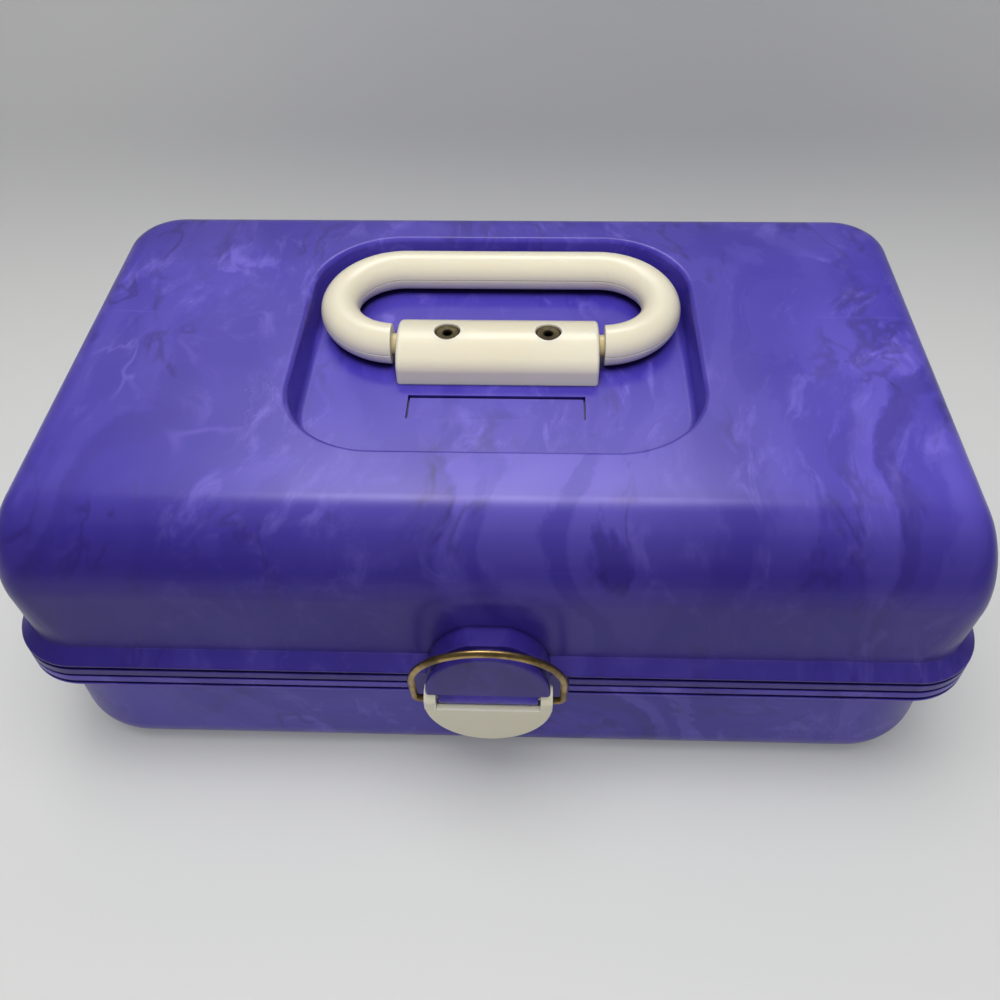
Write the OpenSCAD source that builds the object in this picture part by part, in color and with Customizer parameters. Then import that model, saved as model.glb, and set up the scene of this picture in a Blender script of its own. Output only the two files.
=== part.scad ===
// Moulded makeup storage case: a deep lid with a folding carry handle, a base
// with a draw latch, and a tray that rises on two parallel arms as the lid opens.
// Origin: centre of the underside. +X to the right, +Y to the back, +Z up.

/* [Case] */
// Overall length across the rim
case_l = 330; // [310:1:350]
// Overall depth across the rim
case_w = 204.5; // [196:0.5:216]
// Height of the closed case, without the handle block
case_h = 113; // [108:0.5:122]
// Height of the parting plane
seam_z = 54; // [52:0.5:58]
// Thickness of the moulded walls
wall_t = 2.4; // [2:0.1:2.8]
// Gap between the closed rims
seam_gap = 0.3; // [0.2:0.05:0.5]

/* [Base shell] */
// How far the base wall stands in from the rim
base_in = 4.4; // [4:0.1:5.5]
// Plan radius of the base corners
base_corner_r = 31; // [26:0.5:34]
// Radius of the rounded bottom edge
base_foot_r = 15; // [10:0.5:18]
// Height of the locating lip above the seam
lip_h = 2.4; // [1.5:0.1:2.6]
// Thickness of the locating lip
lip_t = 1.4; // [1:0.1:1.8]
// Gap between the locating lip and the lid wall
lip_gap = 0.8; // [0.5:0.1:1.2]
// Depth of the channel between the locating lip and the base wall
lip_drop = 0.8; // [0.5:0.1:1.2]

/* [Rim] */
// Plan radius of the rim corners
rim_corner_r = 23.5; // [20:0.5:26]
// Height of each rim band
rim_h = 5.6; // [5:0.1:6.5]
// Height of the sloping ledge above the lid rim
ledge_h = 4; // [3:0.5:5]
// Height of the grooves in the rims
groove_h = 1.1; // [0.8:0.1:1.4]
// Depth of the grooves in the rims
groove_d = 1.3; // [0.8:0.1:1.8]
// Height of the narrow bead beyond each groove
bead_h = 1.1; // [0.8:0.1:1.5]
// Half width of the gap in the rims at the latch
notch_half = 27; // [26.8:0.1:32]

/* [Lid shell] */
// How far the lid wall stands in from the rim
lid_in = 5; // [4.5:0.1:6]
// How far the lid wall leans in from its foot to its top
lid_lean = 1.4; // [0.5:0.1:2.5]
// Radius of the top edge at the sides and the back
lid_top_r = 11; // [8:0.5:13]
// Plan radius of the back corners
lid_back_r = 22; // [18:0.5:25]
// Radius of the front top edge
lid_front_r = 26; // [20:0.5:30]
// Side radius of the front top corners
lid_side_r = 10; // [8:0.5:13]
// Plan radius of the front corners at the foot of the lid wall
lid_foot_r = 20; // [16:0.5:23]

/* [Handle recess] */
// Length of the recess at the top face
recess_l = 147; // [146:0.5:156]
// Depth front to back of the recess at the top face
recess_w = 124; // [122:0.5:128]
// Plan radius of the recess corners
recess_r = 33; // [28:0.5:35]
// How far the recess walls lean in at the floor
recess_lean = 2; // [1:0.25:2]
// Depth of the recess below the top face
recess_d = 13.5; // [12:0.25:15]
// Length of the sunk label panel
label_l = 65; // [50:1:70]
// Depth front to back of the sunk label panel
label_w = 12.6; // [8:0.1:15]
// How deep the label panel is sunk
label_d = 0.6; // [0.3:0.1:0.9]
// Gap between the handle block and the label panel
label_gap = 6; // [4:0.5:9]

/* [Handle] */
// Distance of the handle's axis behind the case centre
handle_y = 12; // [8:0.5:15]
// Overall length of the handle
handle_l = 140; // [130:0.5:141]
// Diameter of the handle's round section
grip_d = 15; // [13:0.25:16]
// Distance from the handle's axis to the middle of its bar
grip_reach = 48; // [44:0.5:49]
// Air under the handle when it lies flat
grip_rest_gap = 0.4; // [0.3:0.1:1]
// Length of the handle block
block_l = 75; // [70:0.5:78]
// Depth front to back of the handle block
block_w = 28; // [26:0.5:31]
// Height of the handle block
block_h = 14.5; // [14:0.25:17]
// Radius of the block's arched top
block_r = 18.3; // [16:0.1:24]
// Gap between the block and each end of the handle
grip_side_gap = 2.3; // [1.5:0.1:3]
// Diameter of the handle's pivots
pivot_d = 8.4; // [7:0.1:9]
// Length of each pivot inside the block
pivot_in = 10; // [8:0.5:11]
// Length of each pivot inside the handle
pivot_out = 5; // [4:0.5:6]

/* [Rivets] */
// Distance between the two rivets
rivet_pitch = 37.5; // [34:0.5:40]
// Diameter of the rivet wells in the block
well_d = 10; // [9:0.1:11]
// Depth of the rivet wells below the top of the block
well_depth = 2.6; // [2:0.1:4]
// Diameter of the rivet heads
rivet_head_d = 9; // [8:0.1:9.6]
// Thickness of the rivet heads
rivet_head_h = 1.2; // [0.8:0.1:1.5]
// Diameter of the rivet shanks
rivet_d = 5; // [4:0.1:5.5]
// Diameter of the hole down each rivet
rivet_hole_d = 3; // [2:0.1:3.5]
// Diameter of the washers under the lid
washer_d = 12; // [10:0.5:14]
// Thickness of the washers
washer_t = 1; // [0.8:0.1:1.5]
// Height of the rolled rivet ends
rivet_roll_h = 1; // [0.8:0.1:1.2]

/* [Lid hinges] */
// Distance of each hinge's middle from the case centre
hinge_x = 92; // [75:1:105]
// Radius of the hinge knuckles
knuckle_r = 4; // [3.5:0.1:4.5]
// Length of each outer, base knuckle
base_knuckle_l = 9; // [7:0.5:12]
// Length of each middle, lid knuckle
lid_knuckle_l = 16; // [12:0.5:20]
// Gap between neighbouring knuckles
knuckle_gap = 0.4; // [0.3:0.05:0.6]
// Gap between the knuckles and the rims
hinge_gap = 0.4; // [0.3:0.05:0.8]
// Diameter of the hinge pins
hinge_pin_d = 3; // [2.5:0.1:3.5]
// Radial running clearance of every turning pin
run_gap = 0.06; // [0.03:0.01:0.09]

/* [Latch] */
// Radius of the latch boss and of the lever
latch_r = 21.5; // [20.5:0.1:21.8]
// How far the boss stands out in front of the rim
boss_out = 5.75; // [5.25:0.05:6.25]
// Height of the boss's flat underside above the seam
boss_lift = 3.8; // [3.7:0.1:5]
// Thickness of the lip at the front of the boss
boss_lip_t = 2.2; // [1.8:0.1:2.6]
// Width of the hooking groove behind the lip
neck_w = 3.6; // [3:0.1:4]
// Depth of the hooking groove
neck_d = 2.5; // [1.5:0.1:3]
// Distance of the lever's axis in front of the rim
lever_out = 4.05; // [3.8:0.05:4.3]
// Distance of the lever's axis below the seam
lever_drop = 0.8; // [0.6:0.1:1.2]
// Radius of the base knuckle that carries the lever
latch_knuckle_r = 2.7; // [2.5:0.1:2.9]
// Length of that knuckle
latch_knuckle_l = 33.4; // [30:0.1:34]
// Gap between that knuckle and the lever
latch_gap = 0.7; // [0.5:0.1:0.9]
// Radius of the lever's ears about its axis
ear_r = 3.2; // [3:0.1:3.3]
// Depth front to back of the lever
lever_t = 8.4; // [7:0.1:9]
// Distance of the lever's face in front of its axis
lever_face = 3.6; // [3.4:0.1:3.7]
// Thickness of the lever's walls
lever_wall = 2.2; // [1.8:0.1:2.6]
// Distance of the lever's round centre below its axis
lever_centre_drop = 1.2; // [0:0.1:2]
// Diameter of the latch pin
latch_pin_d = 2.4; // [2:0.1:2.6]
// Diameter of the bail wire
bail_d = 2.5; // [2:0.1:2.6]
// Radius of the bail's round top, to the middle of the wire
bail_r = 25; // [24.6:0.1:25.4]
// Straight height of the bail below its round top
bail_leg = 14; // [10:0.1:15]
// Bend radius at the bail's feet
bail_bend_r = 2.4; // [1.8:0.1:2.6]
// Length of the bail's feet inside the lever
bail_foot = 2.2; // [1.8:0.1:2.6]
// Distance of the bail's feet behind the lever's axis
bail_back = 1.3; // [1:0.1:1.6]
// Distance of the bail's feet below the lever's axis
bail_drop = 4.3; // [4.2:0.1:4.8]
// Forward lean of the bail at rest, in degrees
bail_lean = 11; // [11:0.5:15]

/* [Tray] */
// Gap between the tray and the inside of the base at each end
tray_side_gap = 10; // [9.6:0.1:12]
// Depth front to back of the tray
tray_w = 144; // [120:1:146]
// Gap between the tray and the inside of the base at the front
tray_front_gap = 9; // [7:0.5:14]
// Height of the tray
tray_h = 20; // [16:0.5:22]
// Gap between the seam and the top of the tray
tray_drop = 2; // [1:0.5:4]
// Thickness of the tray's walls
tray_t = 1.8; // [1.5:0.1:2.2]
// Plan radius of the tray's corners
tray_r = 12; // [8:0.5:16]
// Depth of the tray's front row
tray_row = 48; // [35:1:60]
// Slack of a loose divider in its slots
divider_gap = 0.15; // [0.1:0.05:0.3]
// Thickness of the loose dividers
divider_t = 1.6; // [1.2:0.1:2]
// Depth of the divider slots
slot_d = 1; // [0.6:0.1:1.2]

/* [Tray arms] */
// Distance of the lid pivot in front of the lid hinge
arm_reach = 60; // [56:0.5:62]
// Height of the lid pivot above the lid hinge
arm_rise = 6.2; // [6.2:0.1:8]
// Distance of the arm's base pivot in front of the lid hinge
link_y = 50; // [40:0.5:54]
// Distance of the arm's base pivot below the lid hinge
link_z = 20; // [18:0.5:22]
// Width of the arms across their round ends
arm_w = 10; // [8:0.5:12]
// How much narrower the arms are between their round ends
arm_waist = 1.6; // [1:0.2:3]
// Thickness of the arms
arm_t = 3; // [2.5:0.1:3.5]
// Air between the arms and their neighbours
arm_gap = 0.6; // [0.4:0.1:0.8]
// Diameter of the tray pivot pins
arm_pin_d = 4; // [3:0.1:4.5]
// Diameter of the pin heads
arm_head_d = 7; // [6:0.1:8]
// Thickness of the pin heads
arm_head_t = 1; // [0.8:0.1:1.2]
// Radius of the lugs that carry the pins
lug_r = 3.4; // [3:0.1:3.6]
// Radial clearance of the pivot that closes each linkage
open_gap = 0.35; // [0.25:0.05:0.5]

/* [Mirror] */
// Length of the mirror frame
mirror_l = 150; // [120:1:160]
// Depth front to back of the mirror frame
mirror_w = 92; // [80:1:94]
// Thickness of the mirror frame
mirror_t = 4.6; // [4:0.1:5.5]
// Width of the frame's border
mirror_border = 7; // [6:0.5:10]
// Thickness of the glass
glass_t = 2; // [1.5:0.1:3]
// Slack of the glass in its frame
glass_gap = 0.4; // [0.2:0.1:0.8]
// Distance of the mirror's middle in front of the handle's axis
mirror_y = 12; // [11:1:14]
// Distance of the mirror's posts from its middle, along its length
post_x = 48; // [40:1:52]
// Height of the posts that carry the mirror
post_h = 3.6; // [3.2:0.1:5]
// Radius of the posts
post_r = 3.2; // [2.8:0.1:3.6]
// Diameter of the mirror screws
screw_d = 2.5; // [2:0.1:3]
// Diameter of the screw heads
screw_head_d = 5; // [4:0.1:5.5]
// Thickness of the screw heads
screw_head_t = 1.5; // [1:0.1:1.8]

/* [Hidden] */
$fn = 72;
hull_fn = 32;
over = 1;            // how far a cut runs past the face it opens
sliver = 0.02;       // thinnest slice used as a hull corner
web_in = 0.3;        // how far a knuckle's web stops short of the knuckle's edge

half_l = case_l / 2;
half_w = case_w / 2;
// base and lid walls
base_hl = half_l - base_in;
base_hw = half_w - base_in;
lid_foot_z = seam_z + seam_gap;
lid_rim_top = lid_foot_z + rim_h;
ledge_top = lid_rim_top + ledge_h;
ledge_run = 0.75 * wall_t;          // how far the ledge's slope runs on inside the wall
lid_hl = half_l - lid_in;
lid_hw = half_w - lid_in;
rim_reach = base_in + (base_corner_r - rim_corner_r) * 0.9;
// recess and handle
recess_floor = case_h - recess_d;
floor_under = recess_floor - wall_t;
grip_z = recess_floor + grip_rest_gap + grip_d / 2;
bend_r = grip_reach / 2;
grip_half = handle_l / 2 - grip_d / 2 - bend_r;
leg_end = block_l / 2 + grip_side_gap;
block_top = recess_floor + block_h;
rivet_seat = block_top - well_depth;
// lid hinge
hinge_y = half_w + knuckle_r + hinge_gap;
hinge_half = lid_knuckle_l / 2 + knuckle_gap + base_knuckle_l;
// latch
boss_face = half_w + boss_out;
boss_z = seam_z + boss_lift;
lever_y = half_w + lever_out;
lever_z = seam_z - lever_drop;
ear_in = latch_knuckle_l / 2 + latch_gap;
slot_z = lever_z - latch_knuckle_r - latch_gap;
lever_centre = lever_z - lever_centre_drop;
// tray and arms
inner_hl = base_hl - wall_t;
inner_hw = base_hw - wall_t;
tray_hl = inner_hl - tray_side_gap;
tray_front = inner_hw - tray_front_gap;
tray_top = seam_z - tray_drop;
tray_floor = tray_top - tray_h;
arm_in = tray_hl + arm_head_t + 2 * arm_gap;
lid_pivot = [hinge_y - arm_reach, seam_z + arm_rise];
base_pivot = [hinge_y - link_y, seam_z - link_z];
tray_pivot = base_pivot + [-arm_reach, arm_rise];
lid_lug_in = tray_hl + arm_gap;
lid_inner_hl = lid_hl - wall_t;
divider_x = tray_hl / 3;
// mirror
mirror_top = floor_under - post_h;
mirror_mid = handle_y - mirror_y;
mirror_post = [post_x, mirror_w / 2 - mirror_border / 2];

// Sweeps a profile round a rectangle with round corners. The profile's X is
// the distance outwards from the corner centres, and its Y is the height.
module swept(hl, hw, r) {
    for (i = [0:3]) {
        a = i % 2 == 0 ? hl : hw;
        b = i % 2 == 0 ? hw : hl;
        rotate([0, 0, 90 * i]) {
            translate([a - r, b - r, 0]) rotate_extrude(angle = 90) children();
            translate([r - a, b - r, 0]) rotate([90, 0, 90]) linear_extrude(2 * (a - r)) children();
        }
    }
}

module rounded(hl, hw, r) {
    square([2 * hl, 2 * (hw - r)], center = true);
    square([2 * (hl - r), 2 * hw], center = true);
    for (x = [r - hl, hl - r], y = [r - hw, hw - r]) translate([x, y]) circle(r);
}

// A cylinder along X, from x0 to x1, about the line at [y, z].
module rod(x0, x1, y, z, r) {
    translate([x0, y, z]) rotate([0, 90, 0]) cylinder(h = x1 - x0, r = r);
}

module both_ends() {
    children();
    mirror([1, 0, 0]) children();
}

// ---- base ----

module base_form(off, top) {
    r = base_corner_r - off;
    foot = base_foot_r - off;
    low = off;
    swept(base_hl - off, base_hw - off, r) {
        union() {
            translate([0, low]) square([r - foot, foot]);
            translate([0, base_foot_r]) square([r, top - base_foot_r]);
            intersection() {
                translate([r - foot, base_foot_r]) circle(foot);
                translate([r - foot, low]) square(foot);
            }
        }
    }
    translate([off + r - base_hl, off + r - base_hw, low])
        cube([2 * (base_hl - off - r), 2 * (base_hw - off - r), top - low]);
}

module base_rim() {
    groove_z = seam_z - rim_h + bead_h;
    difference() {
        swept(half_l, half_w, rim_corner_r) difference() {
            translate([rim_corner_r - rim_reach, seam_z - rim_h]) square([rim_reach, rim_h]);
            translate([rim_corner_r - groove_d, groove_z]) square([groove_d + over, groove_h]);
        }
        translate([-notch_half, -half_w - over, seam_z - rim_h - over])
            cube([2 * notch_half, base_in + over, rim_h + 2 * over]);
    }
}

module base_hinge_knuckles() {
    for (x = [-hinge_x, hinge_x], s = [-1, 1]) {
        x0 = x + s * (lid_knuckle_l / 2 + knuckle_gap + base_knuckle_l / 2) - base_knuckle_l / 2;
        rod(x0, x0 + base_knuckle_l, hinge_y, seam_z, knuckle_r);
        translate([x0, half_w - over, seam_z - knuckle_r + web_in])
            cube([base_knuckle_l, hinge_y - half_w + over, knuckle_r - web_in]);
    }
}

module latch_knuckle() {
    rod(-latch_knuckle_l / 2, latch_knuckle_l / 2, -lever_y, lever_z, latch_knuckle_r);
    translate([-latch_knuckle_l / 2, -lever_y, lever_z - latch_knuckle_r + web_in])
        cube([latch_knuckle_l, lever_y - base_hw + over, latch_knuckle_r - web_in]);
}

module base_lip() {
    hl = lid_inner_hl - lip_gap;
    hw = lid_hw - wall_t - lip_gap;
    r = base_corner_r - wall_t - lip_gap;
    swept(hl, hw, r) {
        translate([r - lip_t, seam_z - lip_h]) square([lip_t, 2 * lip_h]);
        translate([r - lip_t, seam_z - lip_h]) square([inner_hl - hl + lip_t + wall_t / 2, lip_h - lip_drop]);
    }
}

module base_shell() color("slateblue") {
    difference() {
        union() {
            difference() {
                union() {
                    base_form(0, seam_z);
                    base_rim();
                }
                base_form(wall_t, seam_z + over);
            }
            intersection() {
                base_lip();
                base_form(0, seam_z + lip_h);
            }
            base_hinge_knuckles();
            latch_knuckle();
            both_ends() rod(arm_in + arm_t + arm_gap, inner_hl + wall_t / 2, base_pivot[0], base_pivot[1], lug_r + 1);
        }
        for (x = [-hinge_x, hinge_x])
            rod(x - hinge_half - over, x + hinge_half + over, hinge_y, seam_z, hinge_pin_d / 2);
        rod(-latch_knuckle_l / 2 - over, latch_knuckle_l / 2 + over, -lever_y, lever_z, latch_pin_d / 2);
        both_ends() rod(arm_in + arm_t, inner_hl, base_pivot[0], base_pivot[1], arm_pin_d / 2);
    }
}

module hinge_pins() color("silver") {
    for (x = [-hinge_x, hinge_x]) rod(x - hinge_half, x + hinge_half, hinge_y, seam_z, hinge_pin_d / 2);
}

module latch_pin() color("silver")
    rod(-latch_r + bail_foot + 1, latch_r - bail_foot - 1, -lever_y, lever_z, latch_pin_d / 2);

module arm_base_pins() color("silver") both_ends() {
    rod(arm_in - arm_head_t, arm_in - arm_gap / 4, base_pivot[0], base_pivot[1], arm_head_d / 2);
    rod(arm_in - arm_head_t, inner_hl, base_pivot[0], base_pivot[1], arm_pin_d / 2);
}

// ---- lid ----

module ring(r_ring, r_tube, turn = 360) rotate_extrude(angle = turn) translate([r_ring, 0]) circle(r_tube);

// The lid's outer form, or its inner one when off is the wall.
module lid_form(off, foot_z) {
    top_hl = lid_hl - lid_lean;
    top_hw = lid_hw - lid_lean;
    hull() {
        for (s = [-1, 1]) {
            translate([s * (top_hl - lid_back_r), top_hw - lid_back_r, case_h - lid_top_r])
                ring(lid_back_r - lid_top_r, lid_top_r - off, $fn = hull_fn);
            translate([s * (top_hl - lid_side_r), lid_front_r - top_hw, case_h - lid_front_r])
                rotate([0, 90, 0]) rotate([0, 0, 90])
                    ring(lid_front_r - lid_side_r, lid_side_r - off, turn = 180, $fn = hull_fn);
            for (e = [[-1, lid_foot_r], [1, lid_back_r]])
                translate([s * (lid_hl - e[1]), e[0] * (lid_hw - e[1]), foot_z])
                    cylinder(h = ledge_top - foot_z, r = e[1] - off, $fn = hull_fn);
        }
    }
}

module recess_form(off, floor_z) {
    hull() {
        translate([0, handle_y, case_h]) linear_extrude(over)
            rounded(recess_l / 2 + off, recess_w / 2 + off, recess_r + off, $fn = 2 * hull_fn);
        translate([0, handle_y, floor_z]) linear_extrude(sliver)
            rounded(recess_l / 2 - recess_lean + off, recess_w / 2 - recess_lean + off,
                    recess_r - recess_lean + off, $fn = 2 * hull_fn);
    }
}

module lid_rim() {
    r = rim_corner_r;
    groove_z = lid_rim_top - bead_h - groove_h;
    difference() {
        swept(half_l, half_w, r) difference() {
            polygon([[r - lid_in - 2 * wall_t, lid_foot_z], [r, lid_foot_z], [r, lid_rim_top],
                     [r - lid_in - ledge_run, ledge_top + ledge_run * ledge_h / lid_in],
                     [r - lid_in - 2 * wall_t, ledge_top + ledge_run * ledge_h / lid_in]]);
            translate([r - groove_d, groove_z]) square([groove_d + over, groove_h]);
        }
        translate([-notch_half, -half_w - over, lid_foot_z - over])
            cube([2 * notch_half, lid_in + over, rim_h + ledge_h + 2 * over]);
    }
}

module lid_hinge_knuckles() {
    for (x = [-hinge_x, hinge_x]) {
        x0 = x - lid_knuckle_l / 2;
        rod(x0, x0 + lid_knuckle_l, hinge_y, seam_z, knuckle_r);
        translate([x0, half_w - over, lid_foot_z])
            cube([lid_knuckle_l, hinge_y - half_w + over, knuckle_r - seam_gap - web_in]);
    }
}

// A cylinder along Y about the latch's centre, from y0 forwards over length l.
module boss_disc(y0, l, r) {
    translate([0, -y0, boss_z]) rotate([90, 0, 0]) cylinder(h = l, r = r);
}

module latch_boss() {
    lip_y = boss_face - boss_lip_t;
    difference() {
        union() {
            boss_disc(lid_hw - wall_t / 2, boss_face - lid_hw + wall_t / 2, latch_r - neck_d);
            boss_disc(lip_y, boss_lip_t, latch_r);
            boss_disc(lid_hw - wall_t / 2, lip_y - neck_w - lid_hw + wall_t / 2, latch_r);
        }
        translate([-latch_r - over, -boss_face - over, boss_z - latch_r - over])
            cube([2 * (latch_r + over), boss_out + lid_in + wall_t + 2 * over, latch_r + over]);
    }
}

module lid_shell() color("mediumslateblue") {
    difference() {
        union() {
            difference() {
                union() {
                    lid_form(0, lid_foot_z);
                    lid_rim();
                }
                lid_form(wall_t, lid_foot_z - over);
            }
            intersection() {
                lid_form(0, lid_foot_z);
                recess_form(wall_t, floor_under);
            }
            lid_hinge_knuckles();
            latch_boss();
            both_ends() rod(lid_lug_in, lid_inner_hl + wall_t / 2, lid_pivot[0], lid_pivot[1], lug_r);
            for (sx = [-1, 1], sy = [-1, 1])
                translate([sx * mirror_post[0], mirror_mid + sy * mirror_post[1], mirror_top])
                    cylinder(h = post_h + wall_t / 2, r = post_r);
        }
        recess_form(0, recess_floor);
        translate([-label_l / 2, handle_y - block_w / 2 - label_gap - label_w, recess_floor - label_d])
            cube([label_l, label_w, label_d + over]);
        for (x = [-1, 1] * rivet_pitch / 2)
            translate([x, handle_y, floor_under - over]) cylinder(h = wall_t + 2 * over, r = rivet_d / 2);
        for (x = [-hinge_x, hinge_x])
            rod(x - hinge_half, x + hinge_half, hinge_y, seam_z, hinge_pin_d / 2 + run_gap);
        both_ends() rod(lid_lug_in - over, lid_inner_hl, lid_pivot[0], lid_pivot[1], arm_pin_d / 2);
        for (sx = [-1, 1], sy = [-1, 1])
            translate([sx * mirror_post[0], mirror_mid + sy * mirror_post[1], mirror_top - over])
                cylinder(h = post_h + over, r = screw_d / 2);
    }
}

module handle_block() color("ivory") {
    difference() {
        translate([-block_l / 2, handle_y, recess_floor]) rotate([90, 0, 90]) linear_extrude(block_l)
            intersection() {
                translate([-block_w / 2, 0]) square([block_w, block_h]);
                translate([0, block_h - block_r]) circle(block_r);
            }
        both_ends() rod(block_l / 2 - pivot_in - over, block_l / 2 + over, handle_y, grip_z, pivot_d / 2 + run_gap);
        for (x = [-1, 1] * rivet_pitch / 2) translate([x, handle_y, 0]) {
            translate([0, 0, rivet_seat]) cylinder(h = well_depth + over, r = well_d / 2);
            translate([0, 0, recess_floor - over]) cylinder(h = block_h, r = rivet_d / 2);
        }
    }
}

module handle_rivets() color("goldenrod") {
    tail = floor_under - washer_t;
    for (x = [-1, 1] * rivet_pitch / 2) translate([x, handle_y, 0]) difference() {
        union() {
            translate([0, 0, rivet_seat]) cylinder(h = rivet_head_h, r = rivet_head_d / 2);
            translate([0, 0, tail]) cylinder(h = rivet_seat - tail, r = rivet_d / 2);
            translate([0, 0, tail - rivet_roll_h]) cylinder(h = rivet_roll_h, r = (rivet_d + rivet_head_d) / 4);
        }
        translate([0, 0, tail - rivet_roll_h - over])
            cylinder(h = rivet_seat - tail + rivet_roll_h + rivet_head_h + 2 * over, r = rivet_hole_d / 2);
    }
}

module rivet_washers() color("goldenrod") {
    for (x = [-1, 1] * rivet_pitch / 2) translate([x, handle_y, floor_under - washer_t]) difference() {
        cylinder(h = washer_t, r = washer_d / 2);
        translate([0, 0, -over]) cylinder(h = washer_t + 2 * over, r = rivet_d / 2);
    }
}

module mirror_frame() color("ivory") {
    low = mirror_top - mirror_t;
    difference() {
        translate([0, mirror_mid, low]) linear_extrude(mirror_t) rounded(mirror_l / 2, mirror_w / 2, mirror_border);
        translate([mirror_border - mirror_l / 2, mirror_mid + mirror_border - mirror_w / 2, low - over])
            cube([mirror_l - 2 * mirror_border, mirror_w - 2 * mirror_border, glass_t + over]);
        for (sx = [-1, 1], sy = [-1, 1])
            translate([sx * mirror_post[0], mirror_mid + sy * mirror_post[1], low - over]) {
                cylinder(h = mirror_t + 2 * over, r = screw_d / 2);
                cylinder(h = screw_head_t + over, r = screw_head_d / 2 + glass_gap / 2);
            }
    }
}

module mirror_glass() color("lightcyan") {
    slack = mirror_border + glass_gap;
    translate([slack - mirror_l / 2, mirror_mid + slack - mirror_w / 2, mirror_top - mirror_t])
        cube([mirror_l - 2 * slack, mirror_w - 2 * slack, glass_t]);
}

module mirror_screws() color("silver") {
    low = mirror_top - mirror_t;
    for (sx = [-1, 1], sy = [-1, 1])
        translate([sx * mirror_post[0], mirror_mid + sy * mirror_post[1], low]) {
            cylinder(h = screw_head_t, r = screw_head_d / 2);
            cylinder(h = mirror_t + post_h, r = screw_d / 2);
        }
}

module lid_tray_pins() color("silver") both_ends() {
    rod(tray_hl - tray_t - arm_gap - arm_head_t, tray_hl - tray_t - arm_gap, lid_pivot[0], lid_pivot[1], arm_head_d / 2);
    rod(tray_hl - tray_t - arm_gap - arm_head_t, lid_inner_hl, lid_pivot[0], lid_pivot[1], arm_pin_d / 2);
}

// ---- handle ----

module handle_grip() color("ivory") {
    difference() {
        translate([0, handle_y, grip_z]) {
            rod(-grip_half, grip_half, grip_reach, 0, grip_d / 2);
            both_ends() translate([grip_half, bend_r, 0]) rotate([0, 0, -90])
                rotate_extrude(angle = 180) translate([bend_r, 0]) circle(grip_d / 2);
            both_ends() rod(grip_half - over, grip_half, 0, 0, grip_d / 2);
        }
        translate([-leg_end, handle_y - grip_d, grip_z - grip_d])
            cube([2 * leg_end, grip_d * 1.5 + over, 2 * grip_d]);
        both_ends() rod(leg_end - over, leg_end + pivot_out, handle_y, grip_z, pivot_d / 2);
    }
}

module handle_pivots() color("khaki") both_ends()
    rod(block_l / 2 - pivot_in, leg_end + pivot_out, handle_y, grip_z, pivot_d / 2);

// ---- latch ----

module latch_lever() color("ivory") {
    face = lever_y + lever_face;
    difference() {
        union() {
            difference() {
                translate([0, lever_t - face, 0]) rotate([90, 0, 0]) linear_extrude(lever_t) difference() {
                    union() {
                        translate([0, lever_centre]) circle(latch_r);
                        translate([-latch_r, lever_centre]) square([2 * latch_r, lever_z - lever_centre]);
                    }
                    translate([-latch_r - over, lever_z]) square([2 * (latch_r + over), latch_r + over]);
                }
                translate([0, lever_t - face + over, 0]) rotate([90, 0, 0])
                    linear_extrude(lever_t + over - lever_wall) difference() {
                        union() {
                            translate([0, lever_centre]) circle(latch_r - lever_wall);
                            translate([lever_wall - latch_r, lever_centre])
                                square([2 * (latch_r - lever_wall), latch_r]);
                        }
                    }
                translate([-ear_in, -face - over, slot_z]) cube([2 * ear_in, lever_t + 2 * over, latch_r]);
                both_ends() translate([ear_in - over, -lever_y, lever_z - over])
                    cube([latch_r, lever_t, latch_r]);
                both_ends() translate([ear_in - over, -face - over, lever_z - over])
                    cube([latch_r, lever_face + over, latch_r]);
            }
            both_ends() {
                rod(ear_in, latch_r, -lever_y, lever_z, ear_r);
                translate([ear_in, -face, slot_z]) cube([latch_r - ear_in, lever_face, lever_z - slot_z]);
                translate([ear_in, -lever_y, slot_z]) cube([latch_r - ear_in, ear_r, lever_z - slot_z]);
            }
        }
        rod(-latch_r + bail_foot, latch_r - bail_foot, -lever_y, lever_z, latch_pin_d / 2 + run_gap);
        both_ends() rod(latch_r - bail_foot - bail_foot, latch_r + over, bail_back - lever_y, lever_z - bail_drop,
                        bail_d / 2 + run_gap);
    }
}

module latch_bail() color("darkgoldenrod") {
    foot_x = bail_r - bail_bend_r;
    translate([0, bail_back - lever_y, lever_z - bail_drop]) rotate([bail_lean, 0, 0]) {
        translate([0, 0, bail_leg]) rotate([90, 0, 0])
            rotate_extrude(angle = 180) translate([bail_r, 0]) circle(bail_d / 2);
        both_ends() {
            translate([bail_r, 0, bail_bend_r]) cylinder(h = bail_leg - bail_bend_r, r = bail_d / 2);
            translate([foot_x, 0, bail_bend_r]) rotate([90, 0, 0]) rotate([0, 0, -90])
                rotate_extrude(angle = 90) translate([bail_bend_r, 0]) circle(bail_d / 2);
            rod(latch_r - bail_foot, foot_x, 0, 0, bail_d / 2);
        }
    }
}

// ---- tray ----

// A divider's outline across the back row, cut back all round by slack.
module divider_plate(slack, t) {
    y0 = tray_row - tray_front + tray_t / 2 - slot_d + slack;
    y1 = tray_w - tray_front - tray_t - tray_r / 8 + slot_d - slack;
    z0 = tray_floor + tray_t + slack;
    for (x = [-divider_x, divider_x])
        translate([x - t / 2, y0, z0]) cube([t, y1 - y0, tray_h]);
}

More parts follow.
